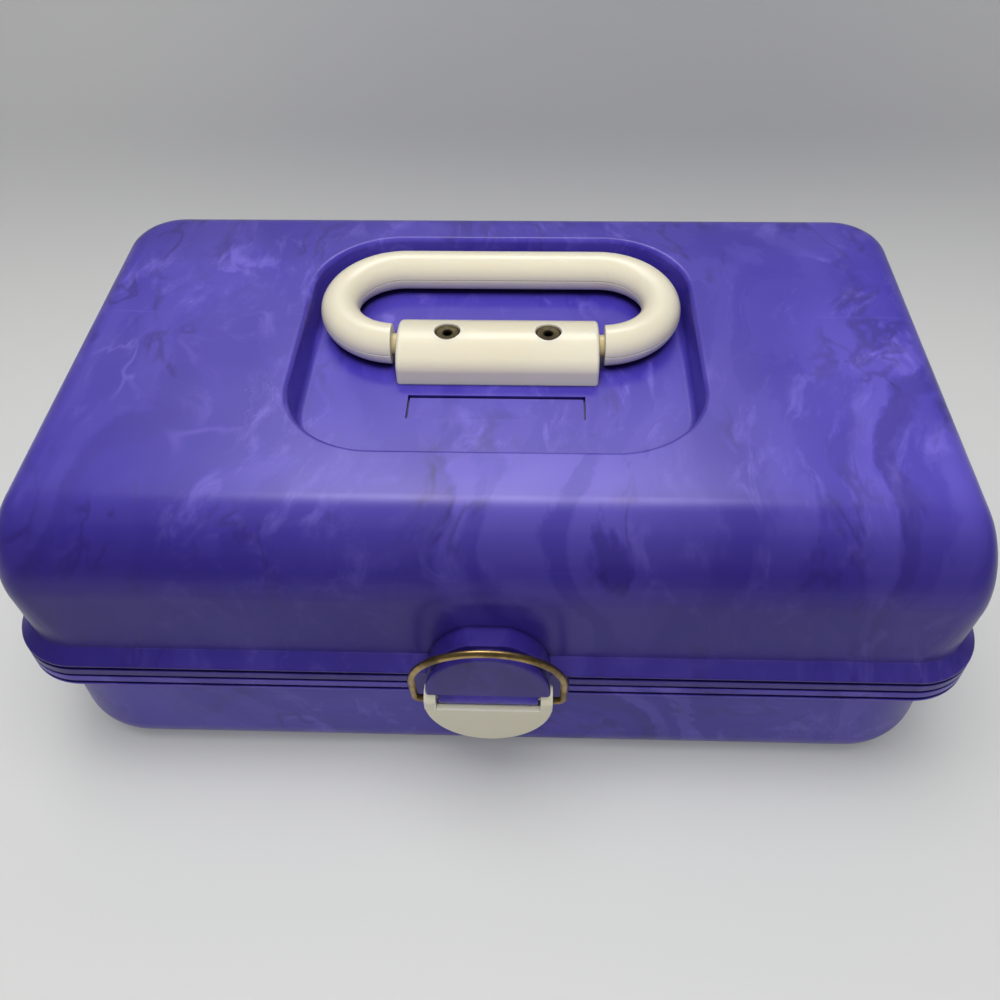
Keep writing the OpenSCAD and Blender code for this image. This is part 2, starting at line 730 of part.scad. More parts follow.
module tray() color("lavender") {
    mid_y = tray_w / 2 - tray_front;
    ear_y = lid_pivot[0];
    ear_foot = min(ear_y - lug_r - 1, tray_w - tray_front - tray_r);
    difference() {
        union() {
            difference() {
                translate([0, mid_y, tray_floor]) linear_extrude(tray_h) rounded(tray_hl, tray_w / 2, tray_r);
                translate([0, mid_y, tray_floor + tray_t]) linear_extrude(tray_h)
                    rounded(tray_hl - tray_t, tray_w / 2 - tray_t, tray_r - tray_t);
            }
            // wall between the two rows
            translate([tray_t / 2 - tray_hl, tray_row - tray_front - tray_t / 2, tray_floor + tray_t / 2])
                cube([2 * tray_hl - tray_t, tray_t, tray_h - tray_t]);
            // short walls across the front row
            for (x = [-tray_hl / 2, 0, tray_hl / 2])
                translate([x - tray_t / 2, tray_t / 2 - tray_front, tray_floor + tray_t / 2])
                    cube([tray_t, tray_row - tray_t / 2, tray_h - tray_t]);
            // pads that hold the loose dividers
            for (x = [-divider_x, divider_x], y = [tray_row - tray_front, tray_w - tray_front - tray_t])
                translate([x - 2 * divider_t, y - tray_t / 2, tray_floor + tray_t / 2])
                    cube([4 * divider_t, tray_t + slot_d / 2, tray_h - tray_t]);
            // ears on the lid's pivots
            both_ends() {
                translate([tray_hl - tray_t, ear_foot, tray_top - tray_t])
                    cube([tray_t, ear_y + lug_r + 1 - ear_foot, lid_pivot[1] - tray_top + tray_t]);
                rod(tray_hl - tray_t, tray_hl, ear_y, lid_pivot[1], lug_r + 1);
            }
        }
        both_ends() rod(tray_hl - tray_t - over, tray_hl + over, ear_y, lid_pivot[1], arm_pin_d / 2 + run_gap);
        both_ends() rod(tray_hl - tray_t - over, tray_hl + over, tray_pivot[0], tray_pivot[1], arm_pin_d / 2 + open_gap);
        divider_plate(0, divider_t + 2 * divider_gap);
    }
}

module tray_dividers() color("lavender") divider_plate(divider_gap, divider_t);

module tray_arm(side) {
    mirror([side < 0 ? 1 : 0, 0, 0]) difference() {
        union() {
            for (p = [base_pivot, tray_pivot]) rod(arm_in, arm_in + arm_t, p[0], p[1], arm_w / 2);
            translate([arm_in, base_pivot[0], base_pivot[1]])
                rotate([-atan2(arm_rise, arm_reach), 0, 0])
                    translate([0, -norm([arm_reach, arm_rise]), (arm_waist - arm_w) / 2])
                        cube([arm_t, norm([arm_reach, arm_rise]), arm_w - arm_waist]);
        }
        rod(arm_in - over, arm_in + arm_t + over, base_pivot[0], base_pivot[1], arm_pin_d / 2 + run_gap);
        rod(arm_in - over, arm_in + arm_t + over, tray_pivot[0], tray_pivot[1], arm_pin_d / 2);
    }
}

module tray_arm_left() color("thistle") tray_arm(-1);
module tray_arm_right() color("thistle") tray_arm(1);

module arm_tray_pin(side) {
    mirror([side < 0 ? 1 : 0, 0, 0]) {
        rod(tray_hl - tray_t, arm_in + arm_t + arm_head_t, tray_pivot[0], tray_pivot[1], arm_pin_d / 2);
        rod(arm_in + arm_t, arm_in + arm_t + arm_head_t, tray_pivot[0], tray_pivot[1], arm_head_d / 2);
    }
}

module arm_tray_pin_left() color("silver") arm_tray_pin(-1);
module arm_tray_pin_right() color("silver") arm_tray_pin(1);

base_shell();
hinge_pins();
latch_pin();
arm_base_pins();
lid_shell();
handle_block();
handle_rivets();
rivet_washers();
mirror_frame();
mirror_glass();
mirror_screws();
lid_tray_pins();
handle_grip();
handle_pivots();
latch_lever();
latch_bail();
tray();
tray_dividers();
tray_arm_left();
tray_arm_right();
arm_tray_pin_left();
arm_tray_pin_right();
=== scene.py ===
import math

import bmesh
import bpy
from mathutils import Matrix, Vector


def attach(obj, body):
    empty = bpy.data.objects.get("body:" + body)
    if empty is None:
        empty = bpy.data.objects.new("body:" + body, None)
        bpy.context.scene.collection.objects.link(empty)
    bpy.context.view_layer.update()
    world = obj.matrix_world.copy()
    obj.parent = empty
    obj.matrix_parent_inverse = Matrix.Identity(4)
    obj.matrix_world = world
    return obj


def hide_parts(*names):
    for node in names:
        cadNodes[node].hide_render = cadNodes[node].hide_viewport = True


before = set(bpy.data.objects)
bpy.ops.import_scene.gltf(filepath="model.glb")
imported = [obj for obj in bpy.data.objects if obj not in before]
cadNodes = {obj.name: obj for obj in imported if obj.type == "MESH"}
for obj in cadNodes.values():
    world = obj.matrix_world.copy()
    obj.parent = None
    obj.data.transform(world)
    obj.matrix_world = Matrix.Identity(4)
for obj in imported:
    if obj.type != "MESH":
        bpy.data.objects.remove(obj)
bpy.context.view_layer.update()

# Sizes are in millimetres while a shape is made, and metres once it is a piece.
mm = 0.001
weldDist = 0.001  # points closer than this are merged
slip = 0.02  # a hole is this much wider than a tight pin, on each side
play = 0.06  # and this much wider than a pin that turns in it


# shaping

def shift(x=0, y=0, z=0):
    return Matrix.Translation((x, y, z))


def turn(degrees, axis):
    return Matrix.Rotation(math.radians(degrees), 4, axis)


def placed(bm, matrix):
    bmesh.ops.transform(bm, matrix=matrix, verts=bm.verts)
    return bm


def outward(bm):
    bmesh.ops.recalc_face_normals(bm, faces=bm.faces)
    return bm


def clean(bm):
    bmesh.ops.remove_doubles(bm, verts=bm.verts, dist=weldDist)
    return outward(bm)


def capped(bm):
    bmesh.ops.holes_fill(bm, edges=[e for e in bm.edges if e.is_boundary], sides=0)
    return bm


def spun(bm, geom, centre, axis, angle, steps, merge=False):
    return bmesh.ops.spin(bm, geom=geom, cent=centre, axis=axis, dvec=(0, 0, 0), angle=angle, steps=steps,
                          use_merge=merge, use_duplicate=False)["geom_last"]


def bevelled(bm, geom, offset, steps, kind="EDGES", clamp=False):
    bmesh.ops.bevel(bm, geom=geom, offset=offset, offset_type="OFFSET", segments=steps, profile=0.5,
                    affect=kind, clamp_overlap=clamp, material=-1)
    return bm


def together(*parts):
    whole = bmesh.new()
    for part in parts:
        spare = bpy.data.meshes.new("spare")
        part.to_mesh(spare)
        part.free()
        whole.from_mesh(spare)
        bpy.data.meshes.remove(spare)
    return whole


def flipped(bm, axis="X"):
    bmesh.ops.scale(bm, vec=(-1, 1, 1) if axis == "X" else (1, -1, 1), verts=bm.verts)
    bmesh.ops.reverse_faces(bm, faces=bm.faces)
    return bm


def mirrored(bm, axis="X"):
    # the shape, and the same again on the other side
    return together(bm, flipped(bm.copy(), axis))


def vertsOf(made):
    return [g for g in made if isinstance(g, bmesh.types.BMVert)]


def edgesOf(made):
    return [g for g in made if isinstance(g, bmesh.types.BMEdge)]


def linked(name, data):
    thing = bpy.data.objects.new(name, data)
    bpy.context.scene.collection.objects.link(thing)
    return thing


def meshObject(bm, name, smooth=False):
    mesh = bpy.data.meshes.new(name)
    bm.to_mesh(mesh)
    bm.free()
    if smooth:
        mesh.polygons.foreach_set("use_smooth", [True] * len(mesh.polygons))
    return linked(name, mesh)


def mixed(bm, other, how):
    first, second = meshObject(bm, "first"), meshObject(other, "second")
    step = first.modifiers.new("mix", "BOOLEAN")
    step.operation, step.object, step.solver = how, second, "MANIFOLD"
    bpy.context.view_layer.update()
    made = bpy.data.meshes.new_from_object(first.evaluated_get(bpy.context.evaluated_depsgraph_get()))
    result = bmesh.new()
    result.from_mesh(made)
    for thing in (first, second):
        mesh = thing.data
        bpy.data.objects.remove(thing)
        bpy.data.meshes.remove(mesh)
    bpy.data.meshes.remove(made)
    return result


def added(bm, *others):
    for other in others:
        bm = mixed(bm, other, "UNION")
    return bm


def cut(bm, *others):
    for other in others:
        bm = mixed(bm, other, "DIFFERENCE")
    return bm


def section(bm, points, at, closed=True, steps=4):
    # points are (across, up, rounding of that corner), and at turns them into places
    points = [(*p, 0)[:3] for p in points]
    verts = [bm.verts.new(at(across, up)) for across, up, soft in points]
    bm.faces.new(verts)
    last = bm.edges.get((verts[-1], verts[0]))
    for vert, (_, _, soft) in zip(verts, points):
        if soft:
            bevelled(bm, [vert], soft, max(steps, int(soft * 1.2)), "VERTICES")
    bmesh.ops.delete(bm, geom=bm.faces[:], context="FACES_ONLY")
    if not closed:
        bm.edges.remove(last)
    return bm.edges[:]


def sweptRound(points, halfL, halfW, radius, closed=True, turns=16, steps=4):
    # a section taken round a rectangle with round corners; across is the distance out from that outline
    bm = bmesh.new()
    edges = section(bm, points, lambda out, up: (halfL + out, radius - halfW, up), closed, steps)
    sideX, sideY = halfL - radius, halfW - radius
    corners = ((sideX, sideY), (-sideX, sideY), (-sideX, -sideY), (sideX, -sideY))
    runs = ((0, 2 * sideY), (-2 * sideX, 0), (0, -2 * sideY), (2 * sideX, 0))
    for centre, run in zip(corners, runs):
        made = bmesh.ops.extrude_edge_only(bm, edges=edges)["geom"]
        verts, edges = vertsOf(made), edgesOf(made)
        bmesh.ops.translate(bm, vec=(*run, 0), verts=verts)
        edges = edgesOf(spun(bm, verts + edges, (*centre, 0), (0, 0, 1), math.pi / 2, turns))
    bmesh.ops.remove_doubles(bm, verts=bm.verts, dist=weldDist)
    return outward(bm if closed else capped(bm))


def lathed(points, closed=False, turns=48, steps=4):
    # a section of (radius, height) spun round Z
    bm = bmesh.new()
    edges = section(bm, points, lambda out, up: (out, 0, up), closed, steps)
    spun(bm, bm.verts[:] + edges, (0, 0, 0), (0, 0, 1), math.tau, turns, merge=True)
    return clean(bm)


def rod(x0, x1, y, z, radius, soft=0.25, turns=32):
    # a round bar along X, with softened ends
    bm = lathed([(0, x0), (radius, x0, soft), (radius, x1, soft), (0, x1)], turns=turns, steps=2)
    return placed(bm, shift(y=y, z=z) @ turn(90, "Y"))


def drill(radius, low, high, turns=24):
    return lathed([(0, low), (radius, low), (radius, high), (0, high)], turns=turns)


def block(low, high, soft=0, steps=2):
    bm = bmesh.new()
    bmesh.ops.create_cube(bm, size=1)
    bmesh.ops.scale(bm, vec=[b - a for a, b in zip(low, high)], verts=bm.verts)
    bmesh.ops.translate(bm, vec=[(a + b) / 2 for a, b in zip(low, high)], verts=bm.verts)
    return bevelled(bm, bm.edges[:], soft, steps) if soft else bm


def piped(radius, start, route, sides=32):
    # a round section taken along runs and bends, from a circle that start puts in place
    bm = bmesh.new()
    bmesh.ops.create_circle(bm, segments=sides, radius=radius, matrix=start)
    verts, edges = bm.verts[:], bm.edges[:]
    for step in route:
        if step[0] == "run":
            made = bmesh.ops.extrude_edge_only(bm, edges=edges)["geom"]
            bmesh.ops.translate(bm, vec=step[1], verts=vertsOf(made))
        else:
            centre, axis, degrees, steps = step[1:]
            made = spun(bm, verts + edges, centre, axis, math.radians(degrees), steps)
        verts, edges = vertsOf(made), edgesOf(made)
    return clean(capped(bm))


def scored(bm, point, normal, clear=False):
    bmesh.ops.bisect_plane(bm, geom=bm.verts[:] + bm.edges[:] + bm.faces[:], plane_co=point,
                           plane_no=normal, clear_outer=clear, dist=0.0001)
    return bm


def sliced(bm, point, normal):
    # keeps the side that the normal points away from, and closes the cut
    return clean(capped(scored(bm, point, normal, True)))


def softened(bm, test, width, steps=2):
    # rounds the sharp edges that pass the test
    sharpest = math.radians(28)
    edges = [e for e in bm.edges if e.is_manifold and e.calc_face_angle(0) > sharpest and test(e)]
    return bevelled(bm, edges, width, steps, clamp=True)


def flattened(bm):
    # joins the faces that lie in one plane
    bmesh.ops.dissolve_limit(bm, angle_limit=math.radians(0.05), verts=bm.verts, edges=bm.edges)
    return bm


def piece(name, bm, body, material, slot, *stands, sharp=32):
    # the finished object, and the CAD nodes that it stands for
    bmesh.ops.scale(bm, vec=(mm, mm, mm), verts=bm.verts)
    thing = meshObject(bm, name, smooth=True)
    thing.data.set_sharp_from_angle(angle=math.radians(sharp))
    thing.data.materials.append(material)
    thing.modifiers.new("evenShading", "WEIGHTED_NORMAL").keep_sharp = True
    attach(thing, body)
    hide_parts(*stands)


# finishes

def put(tree, kind, feeds=None, **settings):
    node = tree.nodes.new("ShaderNode" + kind)
    for name, value in settings.items():
        setattr(node, name, value)
    for name, value in (feeds or {}).items():
        if isinstance(value, bpy.types.NodeSocket):
            tree.links.new(value, node.inputs[name])
        else:
            node.inputs[name].default_value = value
    return node


def calc(tree, operation, a, b=0.0, clamp=False):
    return put(tree, "Math", {0: a, 1: b}, operation=operation, use_clamp=clamp).outputs[0]


def plus(tree, a, b):
    return calc(tree, "ADD", a, b)


def minus(tree, a, b):
    return calc(tree, "SUBTRACT", a, b)


def times(tree, a, b, clamp=False):
    return calc(tree, "MULTIPLY", a, b, clamp)


def ownPlace(tree):
    return put(tree, "TexCoord").outputs["Object"]


def noise(tree, place, scale, detail=2.0, rough=0.5, twist=0.0, seed=0.0, out="Fac"):
    feeds = {"Vector": place, "W": seed, "Scale": scale, "Detail": detail, "Roughness": rough,
             "Distortion": twist}
    return put(tree, "TexNoise", feeds, noise_dimensions="4D").outputs[out]


def ranged(tree, value, low, high, toLow=0.0, toHigh=1.0):
    feeds = {"Value": value, "From Min": low, "From Max": high, "To Min": toLow, "To Max": toHigh}
    return put(tree, "MapRange", feeds, interpolation_type="SMOOTHSTEP").outputs[0]


def tinted(tree, share, a, b):
    # colour a, with this share of colour b
    return put(tree, "Mix", {0: share, 6: a, 7: b}, data_type="RGBA").outputs[2]


def stained(tree, colour, mask, share, other):
    return tinted(tree, times(tree, mask, share), colour, other)


def pushed(tree, a, b, scale):
    # place a, moved by the colour b of a noise
    b = put(tree, "VectorMath", {0: b, 1: (0.5, 0.5, 0.5)}, operation="SUBTRACT").outputs[0]
    b = put(tree, "VectorMath", {0: b, "Scale": scale}, operation="SCALE").outputs[0]
    return put(tree, "VectorMath", {0: a, 1: b}, operation="ADD").outputs[0]


def newGroup(name, ins, outs):
    group = bpy.data.node_groups.new(name, "ShaderNodeTree")
    for label, kind, start in ins:
        group.interface.new_socket(name=label, in_out="INPUT", socket_type="NodeSocket" + kind)
        if start is not None:
            group.interface.items_tree[label].default_value = start
    for label, kind in outs:
        group.interface.new_socket(name=label, in_out="OUTPUT", socket_type="NodeSocket" + kind)
    return group, group.nodes.new("NodeGroupInput").outputs, group.nodes.new("NodeGroupOutput").inputs


def useGroup(tree, group, **feeds):
    return put(tree, "Group", feeds, node_tree=group).outputs


def stroke(tree, place, scale, width, twist, seed, low, high):
    # short thin lines: where a noise passes its middle value, shown only in patches
    ridge = calc(tree, "ABSOLUTE", minus(tree, noise(tree, place, scale, 3.0, 0.55, twist, seed), 0.5))
    line = ranged(tree, ridge, width, 0.0)
    patch = ranged(tree, noise(tree, place, scale * 0.62, seed=seed + 5.3), low, high)
    return times(tree, line, patch)


marbling = {"fold": 0.13, "foldScale": 5.0, "stir": 0.026, "stirScale": 19.0, "drawnOut": (1.0, 0.40, 0.8),
            "tongues": 25.0, "tongueScale": 10.5, "ragged": 0.060, "raggedScale": 160.0, "fade": 0.62,
            "border": 0.10, "paleCloud": 0.30, "paleTongue": 0.44, "paleBorder": 0.42, "paleWisp": 0.60,
            "paleFeather": 0.85, "deepPool": 0.26, "deepTongue": 0.36, "deepStroke": 0.38, "deepSmear": 0.30}


def moltenMarbleGroup():
    # two plastics stirred together: tongues of slightly different tone, dark strokes and pale wisps
    group, ins, outs = newGroup("moltenMarble", [
        ("Vector", "Vector", None), ("Body", "Color", (0.08, 0.06, 0.38, 1)),
        ("Pale", "Color", (0.2, 0.16, 0.6, 1)), ("Deep", "Color", (0.03, 0.02, 0.2, 1)),
        ("Amount", "Float", 1.0)], [("Color", "Color")])
    place, m = ins["Vector"], marbling
    folded = noise(group, place, m["foldScale"], 1.0, seed=3.1, out="Color")
    folded = pushed(group, place, folded, m["fold"])
    stirred = noise(group, folded, m["stirScale"], seed=7.7, out="Color")
    stirred = pushed(group, folded, stirred, m["stir"])
    drawn = put(group, "VectorMath", {0: stirred, 1: m["drawnOut"]}, operation="MULTIPLY").outputs[0]
    ragged = minus(group, noise(group, drawn, m["raggedScale"], 4.0, 0.65, seed=9.2), 0.5)
    flow = noise(group, drawn, m["tongueScale"], 1.6, seed=5.2)
    flow = times(group, plus(group, flow, times(group, ragged, m["ragged"])), m["tongues"])
    # each tongue has its own tone, and fades into the next one along one side
    tongue, across = calc(group, "FLOOR", flow), calc(group, "FRACT", flow)
    tone = [put(group, "TexWhiteNoise", {"W": w}, noise_dimensions="1D").outputs["Value"]
            for w in (tongue, plus(group, tongue, 1.0))]
    fade = ranged(group, across, m["fade"], 1.0)
    tone = plus(group, times(group, tone[0], minus(group, 1.0, fade)), times(group, tone[1], fade))
    bold = ranged(group, noise(group, place, 6.5, 1.0, seed=12.6), 0.40, 0.62, 0.30, 1.0)
    paleTongue = times(group, ranged(group, tone, 0.42, 0.90), bold)
    deepTongue = times(group, ranged(group, tone, 0.50, 0.05), bold)
    border = ranged(group, noise(group, place, 12.0, 1.0, seed=8.4), 0.48, 0.64)
    border = times(group, ranged(group, across, m["border"], 0.0), border)
    cloud = ranged(group, noise(group, drawn, 12.0, 3.0, seed=1.3), 0.40, 0.66)
    feather = ranged(group, noise(group, drawn, 105.0, 4.0, 0.62, 0.5, 2.9), 0.50, 0.72)
    feather = times(group, feather, ranged(group, noise(group, folded, 15.0, seed=6.1), 0.42, 0.62))
    wisp = stroke(group, drawn, 30.0, 0.022, 0.5, 4.4, 0.56, 0.68)
    dark = stroke(group, drawn, 58.0, 0.05, 0.5, 2.6, 0.53, 0.62)
    smear = stroke(group, drawn, 20.0, 0.045, 0.5, 15.1, 0.56, 0.70)
    deep = ranged(group, noise(group, drawn, 8.0, 3.0, seed=11.5), 0.44, 0.72, 0.0, m["deepPool"])
    pale = times(group, cloud, m["paleCloud"])
    for mask, share in ((paleTongue, "paleTongue"), (border, "paleBorder"), (wisp, "paleWisp"),
                        (feather, "paleFeather")):
        pale = plus(group, pale, times(group, mask, m[share]))
    for mask, share in ((deepTongue, "deepTongue"), (dark, "deepStroke"), (smear, "deepSmear")):
        deep = plus(group, deep, times(group, mask, m[share]))
    colour = tinted(group, times(group, pale, ins["Amount"], True), ins["Body"], ins["Pale"])
    colour = tinted(group, times(group, deep, ins["Amount"], True), colour, ins["Deep"])
    group.links.new(colour, outs["Color"])
    return group


def edgeWearGroup():
    # how far the surface turns within a short distance: 1 on edges, 0 on flats
    group, ins, outs = newGroup("edgeWear", [("Radius", "Float", 0.0008), ("Breakup", "Float", 60.0)],
                                [("Mask", "Float")])
    rounded = put(group, "Bevel", {"Radius": ins["Radius"]}, samples=4).outputs[0]
    true = put(group, "NewGeometry").outputs["Normal"]
    same = put(group, "VectorMath", {0: rounded, 1: true}, operation="DOT_PRODUCT").outputs["Value"]
    patchy = ranged(group, noise(group, ownPlace(group), ins["Breakup"], 3.0, 0.6, seed=2.0), 0.35, 0.65)
    group.links.new(times(group, ranged(group, same, 0.995, 0.92), patchy), outs["Mask"])
    return group


def fineGrainGroup():
    # the slight unevenness of a moulded or drawn surface, and the marks of handling
    group, ins, outs = newGroup("fineGrain", [("Grain", "Float", 1400.0), ("Ripple", "Float", 0.1),
                                              ("Depth", "Float", 0.1), ("Scratches", "Float", 0.5)],
                                [("Normal", "Vector"), ("Marks", "Float"), ("Haze", "Float")])
    place = ownPlace(group)
    fine = noise(group, place, ins["Grain"], 2.0, 0.6, seed=0.7)
    slow = noise(group, place, 38.0, seed=1.9)
    marks = 0.0
    for angle, seed in ((24, 3.3), (-61, 8.1), (82, 5.6)):
        along = put(group, "Mapping", {"Vector": place, "Rotation": (0.3, 0.2, math.radians(angle)),
                                       "Scale": (14, 900, 300)}).outputs[0]
        line = ranged(group, noise(group, along, 1.0, 1.0, 0.4, 0.2, seed), 0.70, 0.80)
        marks = calc(group, "MAXIMUM", line, marks)
    shown = ranged(group, noise(group, place, 22.0, seed=4.9), 0.5, 0.68)
    marks = times(group, times(group, marks, shown), ins["Scratches"])
    height = plus(group, times(group, slow, ins["Ripple"]), times(group, fine, 0.02))
    height = minus(group, height, times(group, marks, 0.03))
    bump = put(group, "Bump", {"Strength": ins["Depth"], "Distance": 0.002, "Height": height}).outputs[0]
    group.links.new(bump, outs["Normal"])
    group.links.new(marks, outs["Marks"])
    group.links.new(ranged(group, noise(group, place, 30.0, 4.0, 0.6, seed=6.6), 0.3, 0.75), outs["Haze"])
    return group


def creviceShadeAndDirtGroup():
    # narrow grooves darkened: painted shade where light hardly reaches, and dirt that stays there
    group, ins, outs = newGroup("creviceShadeAndDirt", [("Reach", "Float", 0.002)], [("Mask", "Float")])
    openness = put(group, "AmbientOcclusion", {"Distance": ins["Reach"]}, samples=6).outputs["AO"]
    group.links.new(ranged(group, openness, 0.74, 0.38), outs["Mask"])
    return group


moltenMarble, edgeWear = moltenMarbleGroup(), edgeWearGroup()
fineGrain, creviceShadeAndDirt = fineGrainGroup(), creviceShadeAndDirtGroup()


def newMaterial(name, **fixed):
    material = bpy.data.materials.new(name)
    material.use_nodes = True
    shader = material.node_tree.nodes["Principled BSDF"]
    for label, value in fixed.items():
        shader.inputs[label.replace("_", " ")].default_value = value
    return material, material.node_tree, shader


def feed(tree, shader, **sockets):
    for label, socket in sockets.items():
        tree.links.new(socket, shader.inputs[label.replace("_", " ")])


# gap is a near black used as painted shade in grooves and seams
purple = {"body": (0.052, 0.034, 0.385, 1), "pale": (0.15, 0.115, 0.60, 1),
          "deep": (0.016, 0.009, 0.105, 1), "worn": (0.13, 0.10, 0.44, 1), "gap": (0.004, 0.002, 0.035, 1),
          "rough": (0.30, 0.37), "edgeRadius": 0.0009}


def marbledMaterial(name, values, amount, warp, paintedFrontShade=0.0, weldY=None):
    material, tree, shader = newMaterial(name, IOR=1.48, Specular_Tint=(0.78, 0.72, 1.0, 1))
    own = ownPlace(tree)
    place = put(tree, "Mapping", {"Vector": own, "Location": warp}).outputs[0]
    colour = useGroup(tree, moltenMarble, Vector=place, Body=values["body"], Pale=values["pale"],
                      Deep=values["deep"], Amount=amount)["Color"]
    grain = useGroup(tree, fineGrain, Grain=1500.0, Ripple=0.10, Depth=0.16, Scratches=0.5)
    worn = useGroup(tree, edgeWear, Radius=values["edgeRadius"])["Mask"]
    depth = put(tree, "SeparateXYZ", {0: own}).outputs["Y"]
    if paintedFrontShade:
        # painted shade: the deep colour darkens the front wall strongly, and the back of the top a little
        for start, end, share in ((-0.060, -0.092, 1.0), (0.050, 0.090, 0.35)):
            share = ranged(tree, depth, start, end, 0.0, paintedFrontShade * share)
            colour = tinted(tree, share, colour, values["deep"])
    if weldY is not None:
        # a faint line where two streams of plastic met
        wobble = times(tree, noise(tree, own, 24.0, 3.0, 0.6, seed=14.2), 0.006)
        off = calc(tree, "ABSOLUTE", minus(tree, plus(tree, depth, wobble), weldY + 0.003))
        shown = ranged(tree, noise(tree, own, 30.0, seed=9.9), 0.46, 0.62, 0.0, 0.30)
        line = times(tree, ranged(tree, off, 0.0006, 0.0001), shown)
        colour = tinted(tree, line, colour, values["pale"])
    colour = stained(tree, colour, worn, 0.28, values["worn"])
    colour = stained(tree, colour, grain["Marks"], 0.22, values["worn"])
    # painted shade: grooves, seams and inner corners darkened towards the gap colour
    colour = tinted(tree, useGroup(tree, creviceShadeAndDirt, Reach=0.0032)["Mask"], colour, values["gap"])
    rough = ranged(tree, grain["Haze"], 0.0, 1.0, *values["rough"])
    rough = plus(tree, rough, times(tree, grain["Marks"], 0.12))
    feed(tree, shader, Base_Color=colour, Roughness=rough, Normal=grain["Normal"])
    return material


# the lid's front wall gets a strong painted shade, the base's a lighter one
marbledPurple = marbledMaterial("marbledPurple", purple, 1.0, (0, 0, 0), 0.70, 0.023)
marbledPurpleBase = marbledMaterial("marbledPurpleBase", purple, 1.0, (0.31, 0.17, 0.4), 0.25)

# edge is near white: rubbed wear on the rims, and a painted highlight along them
ivory = {"body": (0.79, 0.735, 0.58, 1), "yellow": (0.745, 0.67, 0.48, 1),
         "grime": (0.30, 0.25, 0.17, 1), "edge": (0.98, 0.96, 0.88, 1)}
nylon = {"body": (0.68, 0.58, 0.34, 1), "yellow": (0.5, 0.38, 0.16, 1),
         "grime": (0.16, 0.11, 0.05, 1), "edge": (0.74, 0.66, 0.44, 1)}


def ivoryMaterial(name, values, ageing, roughness):
    material, tree, shader = newMaterial(name, IOR=1.49, Subsurface_Weight=0.45, Subsurface_Scale=0.005,
                                         Subsurface_Radius=(1.0, 0.85, 0.6))
    grain = useGroup(tree, fineGrain, Grain=1200.0, Ripple=0.08, Depth=0.12, Scratches=0.3)
    worn = useGroup(tree, edgeWear, Radius=0.0014, Breakup=12.0)["Mask"]
    place = ownPlace(tree)
    patch = ranged(tree, noise(tree, place, 17.0, seed=2.2), 0.30, 0.75, 0.0, ageing)
    colour = tinted(tree, patch, values["body"], values["yellow"])
    speck = ranged(tree, noise(tree, place, 520.0, 1.0, seed=5.0), 0.74, 0.8, 0.0, 0.25)
    colour = tinted(tree, speck, colour, values["grime"])
    # edges lightened towards the edge colour: partly rubbed wear, partly a painted highlight
    colour = stained(tree, colour, worn, 0.6, values["edge"])
    colour = stained(tree, colour, grain["Marks"], 0.12, values["grime"])
    # crevices darkened towards the grime colour: partly dirt, partly painted shade
    gap = useGroup(tree, creviceShadeAndDirt, Reach=0.0015)["Mask"]
    colour = stained(tree, colour, gap, 0.55, values["grime"])
    rough = ranged(tree, grain["Haze"], 0.0, 1.0, *roughness)
    feed(tree, shader, Base_Color=colour, Roughness=rough, Normal=grain["Normal"])
    return material


ivoryPlastic = ivoryMaterial("ivoryPlastic", ivory, 0.40, (0.30, 0.42))
yellowedNylon = ivoryMaterial("yellowedNylon", nylon, 0.9, (0.35, 0.5))

brass = {"bright": (0.46, 0.315, 0.125, 1), "brown": (0.115, 0.078, 0.038, 1),
         "green": (0.085, 0.08, 0.048, 1), "gap": (0.015, 0.012, 0.008, 1)}
darkBrass = {"bright": (0.075, 0.06, 0.035, 1), "brown": (0.045, 0.036, 0.02, 1),
             "green": (0.038, 0.034, 0.02, 1), "gap": (0.015, 0.012, 0.008, 1)}


def brassMaterial(name, values, dulled):
    material, tree, shader = newMaterial(name)
    grain = useGroup(tree, fineGrain, Grain=2200.0, Ripple=0.2, Depth=0.35, Scratches=1.0)
    worn = useGroup(tree, edgeWear, Radius=0.0005, Breakup=150.0)["Mask"]
    place = ownPlace(tree)
    tarnish = ranged(tree, noise(tree, place, 95.0, 4.0, 0.6, seed=1.1), 0.36, 0.62)
    verdigris = ranged(tree, noise(tree, place, 160.0, 3.0, 0.6, seed=4.2), 0.56, 0.72, 0.0, 0.7)
    colour = tinted(tree, times(tree, tarnish, 0.8), values["bright"], values["brown"])
    colour = tinted(tree, verdigris, colour, values["green"])
    colour = stained(tree, colour, worn, 0.6, values["bright"])
    colour = stained(tree, colour, grain["Marks"], 0.5, values["bright"])
    gap = useGroup(tree, creviceShadeAndDirt, Reach=0.0015)["Mask"]
    colour = stained(tree, colour, gap, 0.8, values["gap"])
    metal = minus(tree, 1.0, times(tree, verdigris, 0.5))
    rough = ranged(tree, tarnish, 0.0, 1.0, 0.28 + dulled, 0.46 + dulled)
    feed(tree, shader, Base_Color=colour, Roughness=rough, Metallic=metal, Normal=grain["Normal"])
    return material


agedBrass = brassMaterial("agedBrass", brass, 0.0)
rivetBrass = brassMaterial("rivetBrass", darkBrass, 0.12)


def steelMaterial():
    material, tree, shader = newMaterial("plainSteel", Metallic=1.0)
    grain = useGroup(tree, fineGrain, Grain=2600.0, Ripple=0.15, Depth=0.2, Scratches=1.0)
    place = ownPlace(tree)
    dull = ranged(tree, noise(tree, place, 140.0, 4.0, 0.6, seed=3.0), 0.4, 0.68)
    colour = tinted(tree, dull, (0.62, 0.62, 0.63, 1), (0.38, 0.37, 0.36, 1))
    rough = ranged(tree, grain["Haze"], 0.0, 1.0, 0.24, 0.42)
    feed(tree, shader, Base_Color=colour, Roughness=rough, Normal=grain["Normal"])
    return material


plainSteel = steelMaterial()


